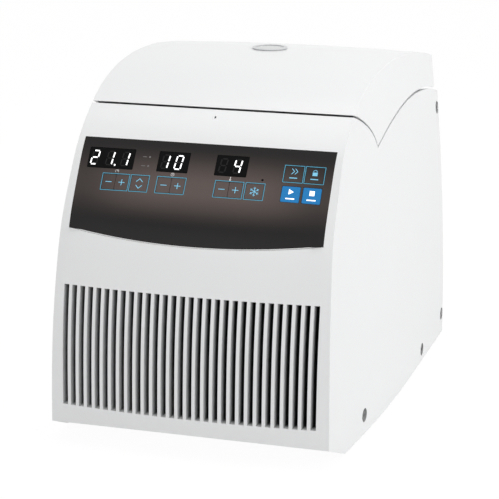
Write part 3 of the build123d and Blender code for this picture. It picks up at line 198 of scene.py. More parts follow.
class Grain(Enum):
    """The direction of a finish's fine marks."""

    EVEN = "even"
    TURNED = "turned"
    DRAWN = "drawn"


class Tint:
    """A change of a finish's colour over a piece."""

    def over(self, graph: Graph, base: Socket) -> Socket:
        """The base colour as it is."""
        return base


@dataclass(frozen=True)
class PanelPaintedReflection(Tint):
    """Painted reflection: a warm band across the middle of the control panel."""

    colour: Colour = (0.125, 0.098, 0.09)
    foot_from: float = 205 * MM
    foot_to: float = 233 * MM
    head_from: float = 238 * MM
    head_to: float = 269 * MM
    side_from: float = 30 * MM
    side_to: float = 112 * MM
    side_loss: float = 0.6

    def over(self, graph: Graph, base: Socket) -> Socket:
        """Blend the painted reflection band into the panel's colour.

        Args:
            graph: The material's nodes.
            base: The panel's own colour.

        Returns:
            The blended colour.
        """
        x, _, z = graph.split(graph.place())
        above_foot = graph.step(z, self.foot_from, self.foot_to)
        middle = above_foot * (1.0 - graph.step(z, self.head_from, self.head_to))
        centred = 1.0 - graph.step(x * x, self.side_from ** 2, self.side_to ** 2) * self.side_loss
        return graph.mix(middle * centred, base, self.colour)


@dataclass(frozen=True)
class ScrewRecessPaintedShade(Tint):
    """Painted shade: dark discs round the screws of a side panel, where their recesses lie in shade."""

    colour: Colour = (0.11, 0.11, 0.115)
    places: tuple[Point, ...] = (
        (-118 * MM, 21 * MM), (104 * MM, 15 * MM), (203 * MM, 24 * MM), (203 * MM, 248 * MM))
    dark_to: float = 6.35 * MM
    white_from: float = 6.65 * MM

    def over(self, graph: Graph, base: Socket) -> Socket:
        """Paint a disc of shade round each screw.

        Args:
            graph: The material's nodes.
            base: The side panel's own colour.

        Returns:
            The colour with its discs of painted shade.
        """
        _, y, z = graph.split(graph.place())
        painted_shade = 0.0
        for depth, height in self.places:
            far_y, far_z = y - depth, z - height
            distance = (far_y * far_y + far_z * far_z) ** 0.5
            painted_shade = (1.0 - graph.step(distance, self.dark_to, self.white_from)) + painted_shade
        return graph.mix(painted_shade, base, self.colour)


@dataclass(frozen=True)
class SlotPaintedShade(Tint):
    """Painted shade in the front's slots: their walls darken with depth below the front's own shape."""

    colour: Colour = (0.012, 0.012, 0.013)
    dark_from: float = 2.5 * MM
    dark_by: float = 12.0 * MM
    foot_from: float = 20 * MM
    foot_to: float = 30 * MM
    head_from: float = 155 * MM
    head_to: float = 165 * MM
    half_width: float = 129 * MM
    bow: float = 8.5 * MM
    heights: tuple[float, ...] = (3 * MM, 63 * MM, 113 * MM, 163 * MM)
    depths: tuple[float, ...] = (-212.3 * MM, -210.4 * MM, -206.5 * MM, -198.0 * MM)

    def over(self, graph: Graph, base: Socket) -> Socket:
        """Paint shade on what lies deeper than the front's surface.

        Args:
            graph: The material's nodes.
            base: The front's own colour.

        Returns:
            The colour, with painted shade in the slots.
        """
        x, y, z = graph.split(graph.place())
        share = x * (1 / self.half_width)
        edge = [float(part) for part in numpy.polyfit(self.heights, self.depths, 3)]
        depth_of_edge = ((edge[0] * z + edge[1]) * z + edge[2]) * z + edge[3]
        surface = depth_of_edge - (1.0 - share * share) * self.bow
        painted_shade = graph.step(y - surface, self.dark_from, self.dark_by)
        above_foot = graph.step(z, self.foot_from, self.foot_to)
        in_slots = above_foot * (1.0 - graph.step(z, self.head_from, self.head_to))
        return graph.mix(painted_shade * in_slots, base, self.colour)


DRIFT_SCALE = 14.0
DRAWN_STRETCH = 0.02
GLOSS_LEAST = 0.85
GLOSS_SWING = 0.3
RELIEF_STRENGTH = 0.6
COAT_ROUGHNESS = 0.06


@dataclass(frozen=True)
class Finish:
    """One finish of a material, with its colour drift, grain and gloss."""

    name: str
    colour: Colour
    roughness: float
    metallic: float = 0.0
    coat: float = 0.0
    specular: float = 0.5
    glow: float = 0.0
    alpha: float = 1.0
    mottle: float = 0.02
    grain: float = 900.0
    relief: float = 0.012
    lie: Grain = Grain.EVEN
    tint: Tint = Tint()

    def _vector(self, graph: Graph) -> Socket:
        """Turn or stretch the object's coordinates for the fine grain.

        Args:
            graph: The material's nodes.

        Returns:
            The coordinates along which the grain runs.
        """
        place = graph.place()
        if self.lie is Grain.EVEN:
            return place
        x, y, z = graph.split(place)
        if self.lie is Grain.DRAWN:
            return graph.node("ShaderNodeCombineXYZ", None, {0: x * DRAWN_STRETCH, 1: y, 2: z})
        from_axis = y - ROTOR_AXIS_Y
        radius = (x * x + from_axis * from_axis) ** 0.5
        return graph.node("ShaderNodeCombineXYZ", None, {0: radius, 1: 0.0, 2: z})

    def build(self) -> bpy.types.Material:
        """Make the material.

        Returns:
            A new material with drifting colour, uneven gloss and fine relief.
        """
        material = bpy.data.materials.new(self.name)
        graph = Graph(material)
        drift = graph.noise(graph.place(), DRIFT_SCALE)
        light = tuple(min(1.0, part * (1 + self.mottle)) for part in self.colour)
        dark = tuple(part * (1 - self.mottle) for part in self.colour)
        base = self.tint.over(graph, graph.mix(drift, dark, light))
        fine = graph.noise(self._vector(graph), self.grain)
        gloss = self.roughness * GLOSS_LEAST + fine * (self.roughness * GLOSS_SWING)
        bump = graph.node("ShaderNodeBump", None,
                          {"Strength": RELIEF_STRENGTH, "Distance": self.relief * MM, "Height": fine})
        inputs = {"Base Color": base, "Roughness": gloss, "Metallic": self.metallic, "Coat Weight": self.coat,
                  "Coat Roughness": COAT_ROUGHNESS, "Specular IOR Level": self.specular, "Normal": bump,
                  "Alpha": self.alpha}
        if self.glow:
            inputs |= {"Emission Color": (*self.colour, 1.0), "Emission Strength": self.glow}
        graph.close(graph.node("ShaderNodeBsdfPrincipled", None, inputs))
        return material


WHITE: Colour = (0.86, 0.865, 0.87)
SLOT_FINISHES = {
    # The front's tint paints shade deep in the grille slots.
    "white_shell": Finish("white_shell", WHITE, 0.38, coat=0.15, mottle=0.008, tint=SlotPaintedShade()),
    "white_sheet": Finish("white_sheet", WHITE, 0.42, coat=0.1, mottle=0.008, grain=1400.0, relief=0.02),
    "grey_sheet": Finish("grey_sheet", (0.42, 0.43, 0.44), 0.5, mottle=0.04, grain=1100.0, relief=0.02),
    # The panel's tint paints a reflection: a warm band across its middle.
    "panel_gloss": Finish("panel_gloss", (0.0185, 0.017, 0.017), 0.3, specular=0.12, mottle=0.1, relief=0.002,
                          tint=PanelPaintedReflection()),
    # The keys' glow is painted light: the keys hold no lamp.
    "key_blue": Finish("key_blue", (0.012, 0.2, 0.5), 0.3, specular=0.3, glow=0.1, relief=0.002),
    "display_black": Finish("display_black", (0.0035, 0.0035, 0.004), 0.3, specular=0.06, relief=0.002),
    "board_green": Finish("board_green", (0.02, 0.16, 0.07), 0.4, coat=0.4, mottle=0.2, grain=300.0),
    "stainless": Finish("stainless", (0.62, 0.63, 0.64), 0.28, 1.0, mottle=0.05, lie=Grain.TURNED),
    "copper_tube": Finish("copper_tube", (0.68, 0.34, 0.2), 0.35, 1.0, mottle=0.15, grain=500.0),
    "foam": Finish("foam", (0.78, 0.7, 0.5), 0.9, mottle=0.12, grain=260.0, relief=0.5),
    "armour_steel": Finish("armour_steel", (0.09, 0.095, 0.1), 0.6, mottle=0.2, grain=700.0, relief=0.04),
    "black_rubber": Finish("black_rubber", (0.02, 0.02, 0.021), 0.75, mottle=0.2, grain=1500.0, relief=0.03),
    "black_iron": Finish("black_iron", (0.03, 0.03, 0.032), 0.5, coat=0.3, mottle=0.2, grain=400.0,
                         relief=0.1),
    "bright_steel": Finish("bright_steel", (0.6, 0.61, 0.62), 0.25, 1.0, mottle=0.06, lie=Grain.DRAWN),
    "rotor_aluminium": Finish("rotor_aluminium", (0.32, 0.33, 0.35), 0.36, 1.0, mottle=0.05,
                              lie=Grain.TURNED),
    "black_plastic": Finish("black_plastic", (0.022, 0.022, 0.024), 0.5, mottle=0.1, grain=1800.0,
                            relief=0.03),
    "liner_plastic": Finish("liner_plastic", (0.6, 0.61, 0.62), 0.45, mottle=0.02, relief=0.02),
    "port_grey": Finish("port_grey", (0.62, 0.63, 0.64), 0.4, mottle=0.02, relief=0.01),
    "clear_window": Finish("clear_window", (0.7, 0.72, 0.72), 0.1, coat=0.5, alpha=0.85, relief=0.001),
    "bare_aluminium": Finish("bare_aluminium", (0.6, 0.61, 0.62), 0.45, 1.0, mottle=0.08, lie=Grain.DRAWN),
    "filter_cloth": Finish("filter_cloth", (0.015, 0.015, 0.016), 0.95, mottle=0.3, grain=600.0, relief=0.4),
}
# The side panels' tint paints shade into the screw recesses.
WHITE_SIDE = Finish("white_side", WHITE, 0.42, coat=0.1, mottle=0.008, grain=1400.0, relief=0.02,
                    tint=ScrewRecessPaintedShade())
SCREW_STEEL = Finish("screw_steel", (0.16, 0.16, 0.165), 0.4, 0.5, mottle=0.1)
NODE_FINISHES = {"left_side_panel": WHITE_SIDE, "right_side_panel": WHITE_SIDE, "side_screws": SCREW_STEEL}
# The glow on these printed lines and signs is painted light.
LINE_CYAN = Finish("line_cyan", (0.08, 0.36, 0.52), 0.4, glow=0.12, relief=0.001)
SIGN_CYAN = Finish("sign_cyan", (0.2, 0.55, 0.76), 0.4, glow=0.22, relief=0.001)
LIT_WHITE = Finish("lit_white", (1.0, 1.0, 1.0), 0.5, glow=0.9, relief=0.001)
PRINT_WHITE = Finish("print_white", (0.72, 0.7, 0.7), 0.5, relief=0.001)
UNLIT = Finish("unlit", (0.017, 0.016, 0.016), 0.5, specular=0.1, relief=0.001)
UNLIT_PRINT = Finish("unlit_print", (0.16, 0.15, 0.15), 0.5, relief=0.001)
# A painted highlight for the light caught on the panel's foot edge.
PAINTED_EDGE_HIGHLIGHT = Finish("painted_edge_highlight", (0.8, 0.8, 0.8), 0.3, relief=0.001)


class Materials:
    """Each finish's material, made once."""

    def __init__(self) -> None:
        """Start with none made."""
        self._made: dict[str, bpy.types.Material] = {}

    def get(self, finish: Finish) -> bpy.types.Material:
        """Find a finish's material, or make it.

        Args:
            finish: The finish.

        Returns:
            Its material.
        """
        if finish.name not in self._made:
            self._made[finish.name] = finish.build()
        return self._made[finish.name]

    def dress(self, piece: bpy.types.Object, finish: Finish) -> None:
        """Give a piece one finish."""
        piece.data.materials.clear()
        piece.data.materials.append(self.get(finish))


@dataclass
class Kit:
    """What every sub-assembly needs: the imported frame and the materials."""

    frame: dict
    materials: Materials = field(default_factory=Materials)

    def __post_init__(self) -> None:
        """Look up each node's slot and body."""
        self.slots = {entry["node"]: entry["material_slot"] for entry in self.frame["record"]["subparts"]}
        groups = self.frame["record"]["behaviour"]["bodies"]
        self.bodies = {node: body for body, nodes in groups.items() for node in nodes}

    def add(self, bm: bmesh.types.BMesh, name: str, body: str, finish: Finish) -> bpy.types.Object:
        """Turn a bmesh into a piece that rides on a body.

        Args:
            bm: The finished mesh, which is freed.
            name: The piece's name.
            body: The body that carries it.
            finish: Its finish.

        Returns:
            The new object.
        """
        mesh = bpy.data.meshes.new(name)
        bm.to_mesh(mesh)
        bm.free()
        piece = bpy.data.objects.new(name, mesh)
        bpy.context.scene.collection.objects.link(piece)
        self.materials.dress(piece, finish)
        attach(piece, body)
        LOG.info("%s: %d faces on %s", name, len(mesh.polygons), body)
        return piece

    def dress_nodes(self) -> None:
        """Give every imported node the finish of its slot, or its own."""
        for node, slot in self.slots.items():
            finish = NODE_FINISHES.get(node, SLOT_FINISHES[slot])
            self.materials.dress(self.frame["nodes"][node], finish)
            LOG.info("%s: finish %s", node, finish.name)


@dataclass
class PanelSurface:
    """The control panel's plane and the true surface that stands near it."""

    kit: Kit
    nodes: tuple[str, ...]
    tilt: float = math.radians(30)
    origin: Vector = field(default_factory=lambda: Vector((0, -170 * MM, 236 * MM)))
    reach: float = 50 * MM

    def __post_init__(self) -> None:
        """Gather the surface that marks lie on."""
        self.up = Vector((0, math.sin(self.tilt), math.cos(self.tilt)))
        self.out = Vector((0, -math.cos(self.tilt), math.sin(self.tilt)))
        points: list[Vector] = []
        faces: list[tuple[int, ...]] = []
        for node in self.nodes:
            mesh = self.kit.frame["nodes"][node].data
            start = len(points)
            points += [vert.co.copy() for vert in mesh.vertices]
            faces += [tuple(start + i for i in face.vertices) for face in mesh.polygons]
        self.tree = BVHTree.FromPolygons(points, faces)

    def extent(self, node: str) -> tuple[float, float, float, float]:
        """Measure a node on the plane.

        Args:
            node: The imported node's name.

        Returns:
            Its left, right, foot and top.
        """
        offsets = [vert.co - self.origin for vert in self.kit.frame["nodes"][node].data.vertices]
        across = [offset.x for offset in offsets]
        along = [offset.dot(self.up) for offset in offsets]
        return min(across), max(across), min(along), max(along)

    def along_at(self, across: float, height: float) -> float:
        """Find the distance up the panel at which its surface has a height.

        Args:
            across: Distance to the right of the middle.
            height: The height above the floor.

        Returns:
            The distance up the panel.
        """
        slope = math.cos(self.tilt)
        along = (height - self.origin.z) / slope
        for _ in range(4):
            along += (height - self.drop(across, along, 0.0).z) / slope
        return along

    def drop(self, across: float, along: float, lift: float) -> Vector:
        """The point on the surface under a place on the plane.

        Args:
            across: Distance to the right of the middle.
            along: Distance up the panel.
            lift: How far the point stands off the surface.

        Returns:
            The point.
        """
        start = self.origin + Vector((across, 0, 0)) + self.up * along + self.out * self.reach
        hit, _, _, _ = self.tree.ray_cast(start, -self.out)
        if hit is None:
            hit = start - self.out * self.reach
        return hit + self.out * lift


def beside(centre: Point, radius: float, angle: float) -> Point:
    """The point at a distance from another, in the direction of an angle in radians."""
    return centre[0] + radius * math.cos(angle), centre[1] + radius * math.sin(angle)


class Marks:
    """Thin flat shapes drawn on the panel's plane and laid on its surface."""

    joint_sides = 8
    arc_steps = 10

    def __init__(self, surface: PanelSurface) -> None:
        """Start with nothing drawn."""
        self.surface = surface
        self.bm = bmesh.new()

    def bar(self, start: Point, end: Point, width: float, parts: int = 4) -> None:
        """Draw a straight bar.

        Args:
            start: One end, across and along the panel.
            end: The other end.
            width: The bar's width.
            parts: Into how many pieces its length is cut, to follow the curve.
        """
        run = Vector((end[0] - start[0], end[1] - start[1], 0))
        middle = Vector(((start[0] + end[0]) / 2, (start[1] + end[1]) / 2, 0))
        turn = Matrix.Rotation(math.atan2(run.y, run.x), 4, "Z")
        size = Matrix.Diagonal((run.length, width, 1, 1))
        bmesh.ops.create_grid(self.bm, x_segments=parts, y_segments=1, size=0.5,
                              matrix=Matrix.Translation(middle) @ turn @ size)

    def line(self, points: list[Point], width: float) -> None:
        """Draw bars through a row of points, with round joints.

        Args:
            points: The points, across and along the panel.
            width: The bars' width.
        """
        for start, end in zip(points, points[1:]):
            self.bar(start, end, width)
        for point in points:
            self.disc(point, width / 2, self.joint_sides)

    def disc(self, centre: Point, radius: float, sides: int = 20, turn: float = 0.0) -> None:
        """Draw a disc or, with few sides, a regular shape."""
        place = Matrix.Translation((*centre, 0)) @ Matrix.Rotation(turn, 4, "Z")
        bmesh.ops.create_circle(self.bm, cap_ends=True, segments=sides, radius=radius, matrix=place)

    def arc(self, centre: Point, radius: float, start: float, end: float, width: float) -> None:
        """Draw an arc.

        Args:
            centre: Its centre, across and along the panel.
            radius: Its radius.
            start: The angle at which it starts, in degrees.
            end: The angle at which it ends.
            width: The line's width.
        """
        steps = range(self.arc_steps + 1)
        angles = [math.radians(start + (end - start) * i / self.arc_steps) for i in steps]
        self.line([beside(centre, radius, angle) for angle in angles], width)

    def lay(self, name: str, body: str, finish: Finish, lift: float = 0.03 * MM,
            thick: float = 0.05 * MM) -> bpy.types.Object:
        """Lay what was drawn on the surface as a thin closed piece.

        Args:
            name: The piece's name.
            body: The body that carries it.
            finish: Its finish.
            lift: The gap under it.
            thick: Its thickness.

        Returns:
            The new object.
        """
        for vert in self.bm.verts:
            vert.co = self.surface.drop(vert.co.x, vert.co.y, lift)
        risen = bmesh.ops.extrude_face_region(self.bm, geom=self.bm.faces[:], use_keep_orig=True)
        tops = [item for item in risen["geom"] if isinstance(item, bmesh.types.BMVert)]
        bmesh.ops.translate(self.bm, verts=tops, vec=self.surface.out * thick)
        bmesh.ops.recalc_face_normals(self.bm, faces=self.bm.faces)
        return self.surface.kit.add(self.bm, name, body, finish)


class Sign(Enum):
    """The sign that a key carries."""

    MINUS = "minus"
    PLUS = "plus"
    UP_DOWN = "up and down"
    SNOW = "snow"
    FAST = "fast"
    PADLOCK = "padlock"
    RUN = "run"
    HALT = "halt"


SEGMENTS = {
    "top": ((0, 2), (1, 2)), "high_left": ((0, 1), (0, 2)), "high_right": ((1, 1), (1, 2)),
    "middle": ((0, 1), (1, 1)), "low_left": ((0, 0), (0, 1)), "low_right": ((1, 0), (1, 1)),
    "foot": ((0, 0), (1, 0)),
}
LIT = {
    "0": {"top", "high_left", "high_right", "low_left", "low_right", "foot"},
    "1": {"high_right", "low_right"},
    "2": {"top", "high_right", "middle", "low_left", "foot"},
    "4": {"high_left", "high_right", "middle", "low_right"},
    " ": set(),
}


@dataclass(frozen=True)
class KeySigns:
    """The signs on the keys, each drawn round its key's middle."""

    line_width: float = 0.62 * MM
    reach: float = 2.9 * MM
    chevron_tip: float = 4.6 * MM
    arrow_starts: tuple[float, ...] = (-2.0 * MM, 1.0 * MM)
    arrow_length: float = 2.3 * MM
    arrow_rise: float = 2.5 * MM
    bar_half: float = 3.5 * MM
    bar_drop: float = 3.6 * MM
    bar_width: float = 0.9 * MM
    arms: int = 6
    arm_start: float = math.radians(30)
    arm_reach: float = 4.4 * MM
    arm_width: float = 0.55 * MM
    fork_share: float = 0.6
    twig_length: float = 1.5 * MM
    twig_width: float = 0.45 * MM
    twig_lean: float = math.radians(50)
    lock_half: float = 2.2 * MM
    lock_rise: float = 1.2 * MM
    lock_height: float = 3.2 * MM
    shackle_rise: float = 3.2 * MM
    shackle_radius: float = 1.7 * MM
    shackle_width: float = 0.5 * MM
    lit_rise: float = 2.3 * MM
    triangle_radius: float = 2.9 * MM
    triangle_shift: float = 0.4 * MM
    square_half: float = 2.2 * MM
    lit_bar_half: float = 4.0 * MM
    lit_bar_drop: float = 4.0 * MM
    lit_bar_width: float = 1.0 * MM

    def draw(self, marks: Marks, sign: Sign, centre: Point) -> Finish:
        """Draw a sign.

        Args:
            marks: Where it is drawn.
            sign: Which sign it is.
            centre: The key's middle.

        Returns:
            The finish that the sign takes.
        """
        drawers = {Sign.MINUS: self._minus, Sign.PLUS: self._plus, Sign.UP_DOWN: self._up_down,
                   Sign.SNOW: self._snowflake, Sign.FAST: self._fast, Sign.PADLOCK: self._padlock,
                   Sign.RUN: self._run, Sign.HALT: self._halt}
        drawers[sign](marks, *centre)
        return LIT_WHITE if sign in (Sign.RUN, Sign.HALT) else SIGN_CYAN

    def _minus(self, marks: Marks, x: float, y: float) -> None:
        """Draw a minus."""
        marks.bar((x - self.reach, y), (x + self.reach, y), self.line_width)

    def _plus(self, marks: Marks, x: float, y: float) -> None:
        """Draw a plus."""
        self._minus(marks, x, y)
        marks.bar((x, y - self.reach), (x, y + self.reach), self.line_width)

    def _up_down(self, marks: Marks, x: float, y: float) -> None:
        """Draw a chevron up and one down.

        Args:
            marks: Where they are drawn.
            x: The key's middle across the panel.
            y: The key's middle up the panel.
        """
        for way in (-1, 1):
            tip = y + way * self.chevron_tip
            ends = tip - way * self.reach
            marks.line([(x - self.reach, ends), (x, tip), (x + self.reach, ends)], self.line_width)

    def _fast(self, marks: Marks, x: float, y: float) -> None:
        """Draw two arrow heads over a bar.

        Args:
            marks: Where they are drawn.
            x: The key's middle across the panel.
            y: The key's middle up the panel.
        """
        for shift in self.arrow_starts:
            start = x + shift
            tip = (start + self.arrow_length, y + self.arrow_rise)
            marks.line([(start, y + 2 * self.arrow_rise), tip, (start, y)], self.line_width)
        self._bar_under(marks, x, y)

    def _padlock(self, marks: Marks, x: float, y: float) -> None:
        """Draw a padlock over a bar.

        Args:
            marks: Where it is drawn.
            x: The key's middle across the panel.
            y: The key's middle up the panel.
        """
        row = y + self.lock_rise
        marks.bar((x - self.lock_half, row), (x + self.lock_half, row), self.lock_height)
        marks.arc((x, y + self.shackle_rise), self.shackle_radius, 0, 180, self.shackle_width)
        self._bar_under(marks, x, y)

    def _bar_under(self, marks: Marks, x: float, y: float) -> None:
        """Draw the bar under a sign."""
        row = y - self.bar_drop
        marks.bar((x - self.bar_half, row), (x + self.bar_half, row), self.bar_width)

    def _run(self, marks: Marks, x: float, y: float) -> None:
        """Draw a lit triangle over a bar.

        Args:
            marks: Where it is drawn.
            x: The key's middle across the panel.
            y: The key's middle up the panel.
        """
        centre = (x - self.triangle_shift, y + self.lit_rise)
        marks.disc(centre, self.triangle_radius, 3, math.radians(-90))
        self._lit_bar(marks, x, y)

    def _halt(self, marks: Marks, x: float, y: float) -> None:
        """Draw a lit square over a bar.

        Args:
            marks: Where it is drawn.
            x: The key's middle across the panel.
            y: The key's middle up the panel.
        """
        row = y + self.lit_rise
        marks.bar((x - self.square_half, row), (x + self.square_half, row), 2 * self.square_half)
        self._lit_bar(marks, x, y)

    def _lit_bar(self, marks: Marks, x: float, y: float) -> None:
        """Draw the bar under a lit sign."""
        row = y - self.lit_bar_drop
        marks.bar((x - self.lit_bar_half, row), (x + self.lit_bar_half, row), self.lit_bar_width)

    def _snowflake(self, marks: Marks, x: float, y: float) -> None:
        """Draw branched arms.

        Args:
            marks: Where they are drawn.
            x: The key's middle across the panel.
            y: The key's middle up the panel.
        """
        centre = (x, y)
        for i in range(self.arms):
            turn = self.arm_start + math.tau * i / self.arms
            fork = beside(centre, self.arm_reach * self.fork_share, turn)
            marks.bar(centre, beside(centre, self.arm_reach, turn), self.arm_width, 2)
            for way in (-1, 1):
                twig = beside(fork, self.twig_length, turn + way * self.twig_lean)
                marks.bar(fork, twig, self.twig_width, 1)


@dataclass(frozen=True)
class Readout:
    """What a window shows, and where."""

    name: str
    text: str
    middle: float
    pitch: float


@dataclass
class Digits:
    """Slanted seven-segment digits, lit and unlit."""

    surface: PanelSurface
    width: float = 5.7 * MM
    height: float = 12.9 * MM
    stroke: float = 1.2 * MM
    slant: float = 0.12
    shift: float = 2.0 * MM
    segment_gap: float = 0.7 * MM
    point_ahead: float = 3.4 * MM
    point_rise: float = 0.2 * MM
    point_radius: float = 0.85 * MM

    def lay(self, readout: Readout, row: float) -> None:
        """Lay a window's lit digits, and the unlit rest of each digit.

        Args:
            readout: The text, with a point after its digit, and its place.
            row: The window's middle up the panel.
        """
        digits = [char for char in readout.text if char != "."]
        points = [i - 1 for i, char in enumerate(readout.text) if char == "."]
        foot = row - self.height / 2
        lit, unlit = Marks(self.surface), Marks(self.surface)
        for place, char in enumerate(digits):
            step = (place - (len(digits) - 1) / 2) * readout.pitch
            left = readout.middle + step - self.width / 2 - self.shift
            for segment, ends in SEGMENTS.items():
                marks = lit if segment in LIT[char] else unlit
                self._segment(marks, ends, left, foot)
            if place in points:
                centre = (left + self.width + self.point_ahead, foot + self.point_rise)
                lit.disc(centre, self.point_radius, 12)
        lit.lay(f"{readout.name}_digits", "housing", LIT_WHITE)
        unlit.lay(f"{readout.name}_unlit", "housing", UNLIT)

    def _segment(self, marks: Marks, ends: tuple[Point, Point], left: float, foot: float) -> None:
        """Draw one segment.

        Args:
            marks: Where it is drawn.
            ends: The column and row of each end.
            left: The digit's left.
            foot: The digit's foot.
        """
        flat = ends[0][1] == ends[1][1]
        line = []
        for way, (column, row) in zip((1, -1), ends):
            gap = way * self.segment_gap
            x = left + column * self.width + (gap if flat else 0)
            y = row * self.height / 2 + (0 if flat else gap)
            line.append((x + self.slant * y, foot + y))
        marks.bar(line[0], line[1], self.stroke, 2)


@dataclass
class UnitLamps:
    """The two unlit lamps with their dashes, and the sensor dot."""

    surface: PanelSurface
    middle: float = -53.5 * MM
    heights: tuple[float, ...] = (258 * MM, 250.5 * MM)
    dash_from: float = -5.0 * MM
    dash_to: float = -1.2 * MM
    dash_width: float = 0.6 * MM
    lamp_at: float = 1.6 * MM
    lamp_radius: float = 0.9 * MM
    dot_place: Point = (55.2 * MM, 10.9 * MM)
    dot_radius: float = 1.1 * MM

    def lay(self) -> None:
        """Lay the lamps and the dot."""
        marks = Marks(self.surface)
        for height in self.heights:
            along = (height - self.surface.origin.z) / math.cos(self.surface.tilt)
            dash = [(self.middle + end, along) for end in (self.dash_from, self.dash_to)]
            marks.bar(*dash, self.dash_width)
            marks.disc((self.middle + self.lamp_at, along), self.lamp_radius, 12)
        marks.lay("unit_lamps", "housing", UNLIT_PRINT)
        dot = Marks(self.surface)
        dot.disc(self.dot_place, self.dot_radius, 16)
        dot.lay("sensor_dot", "housing", SLOT_FINISHES["display_black"])


@dataclass
class WindowPictograms:
    """A small dial, clock and thermometer under the windows."""

    surface: PanelSurface
    drop: float = 2.5 * MM
    line_width: float = 0.45 * MM
    radius: float = 1.5 * MM
    dial_x: float = -80.2 * MM
    dial_ends: Point = (-30, 210)
    dial_hand: float = 0.9 * MM
    clock_x: float = -27.6 * MM
    clock_rise: float = 0.2 * MM
    minute_hand: float = 1.3 * MM
    hour_hand: float = 1.0 * MM
    bulb_x: float = 26.0 * MM
    bulb_drop: float = 0.9 * MM
    bulb_radius: float = 0.9 * MM
    stem_height: float = 2.6 * MM
    stem_width: float = 0.7 * MM

    def lay(self, windows_foot: float) -> None:
        """Lay the three signs under the windows.

        Args:
            windows_foot: The windows' foot up the panel.
        """
        row = windows_foot - self.drop
        marks = Marks(self.surface)
        dial = (self.dial_x, row)
        marks.arc(dial, self.radius, *self.dial_ends, self.line_width)
        marks.bar(dial, (dial[0] + self.dial_hand, dial[1] + self.dial_hand), self.line_width, 1)
        clock = (self.clock_x, row + self.clock_rise)
        marks.arc(clock, self.radius, 0, 360, self.line_width)
        marks.bar(clock, (clock[0], clock[1] + self.minute_hand), self.line_width, 1)
        marks.bar(clock, (clock[0] + self.hour_hand, clock[1]), self.line_width, 1)
        bulb = (self.bulb_x, row - self.bulb_drop)
        marks.disc(bulb, self.bulb_radius, 14)
        marks.bar(bulb, (bulb[0], bulb[1] + self.stem_height), self.stem_width, 1)
        marks.lay("window_pictograms", "housing", PRINT_WHITE)


@dataclass
class FootHighlight:
    """Painted highlight: a bright line along the panel's sagging foot, standing for the light caught on its
    edge.
    """

    surface: PanelSurface
    half: float = 116.6 * MM
    foot: float = 197.1 * MM
    sag: float = 7.5 * MM
    width: float = 0.75 * MM
    steps: int = 40

    def lay(self) -> None:
        """Lay the painted highlight."""
        points = []
        for i in range(self.steps + 1):
            x = self.half * (2 * i / self.steps - 1)
            height = self.foot - self.sag * (1 - (x / self.half) ** 2)
            points.append((x, self.surface.along_at(x, height)))
        marks = Marks(self.surface)
        marks.line(points, self.width)
        marks.lay("panel_foot_highlight", "housing", PAINTED_EDGE_HIGHLIGHT)


@dataclass
class ControlPanel:
    """Dark panel with its windows, digits, key frames and signs."""

    kit: Kit
    frame_width: float = 0.55 * MM
    frame_gap: float = 0.38 * MM
    sign_lift: float = 0.05 * MM
    signs: KeySigns = KeySigns()
    speed_from_left: float = 21.6 * MM
    speed_pitch: float = 14.4 * MM
    readouts: tuple[Readout, ...] = (
        Readout("time", "10", -29.1 * MM, 12.6 * MM), Readout("temperature", " 4", 25.1 * MM, 13.2 * MM))
    keys: tuple[tuple[str, Sign], ...] = (
        ("speed_minus_key", Sign.MINUS), ("speed_plus_key", Sign.PLUS), ("unit_key", Sign.UP_DOWN),
        ("time_minus_key", Sign.MINUS), ("time_plus_key", Sign.PLUS),
        ("temperature_minus_key", Sign.MINUS), ("temperature_plus_key", Sign.PLUS),
        ("precool_key", Sign.SNOW), ("pulse_key", Sign.FAST), ("lid_open_key", Sign.PADLOCK),
        ("start_key", Sign.RUN), ("stop_key", Sign.HALT))
    framed: tuple[tuple[str, str], ...] = (
        ("speed_minus_key", "speed_plus_key"), ("unit_key", "unit_key"), ("time_minus_key", "time_plus_key"),
        ("temperature_minus_key", "temperature_plus_key"), ("precool_key", "precool_key"),
        ("pulse_key", "pulse_key"), ("lid_open_key", "lid_open_key"))

    def __post_init__(self) -> None:
        """Gather the surface of panel, keys and windows."""
        names = ("control_panel", "display_modules", *(key for key, _ in self.keys))
        self.surface = PanelSurface(self.kit, names)

    def build(self) -> None:
        """Lay the panel's marks."""
        for key, sign in self.keys:
            self._sign(key, sign)
        self._frames()
        left, _, foot, top = self.surface.extent("display_modules")
        digits = Digits(self.surface)
        speed = Readout("speed", "21.1", left + self.speed_from_left, self.speed_pitch)
        for readout in (speed, *self.readouts):
            digits.lay(readout, (foot + top) / 2)
        UnitLamps(self.surface).lay()
        WindowPictograms(self.surface).lay(foot)
        FootHighlight(self.surface).lay()

    def _frames(self) -> None:
        """Lay the frames that are printed round keys, or round a pair of them."""
        marks = Marks(self.surface)
        out = self.frame_gap + self.frame_width / 2
        for first, last in self.framed:
            left, _, foot, top = self.surface.extent(first)
            right = self.surface.extent(last)[1]
            low, high, start, end = foot - out, top + out, left - out, right + out
            marks.line([(start, low), (end, low), (end, high), (start, high), (start, low)], self.frame_width)
        marks.lay("key_frames", "housing", LINE_CYAN)

    def _sign(self, key: str, sign: Sign) -> None:
        """Lay a key's sign.

        Args:
            key: The key's node.
            sign: The sign on it.
        """
        left, right, foot, top = self.surface.extent(key)
        marks = Marks(self.surface)
        finish = self.signs.draw(marks, sign, ((left + right) / 2, (foot + top) / 2))
        marks.lay(f"{key}_sign", self.kit.bodies[key], finish, self.sign_lift)


@dataclass(frozen=True)
class Lamp:
    """A soft square lamp."""

    name: str
    place: Place
    watts: float
    size: float


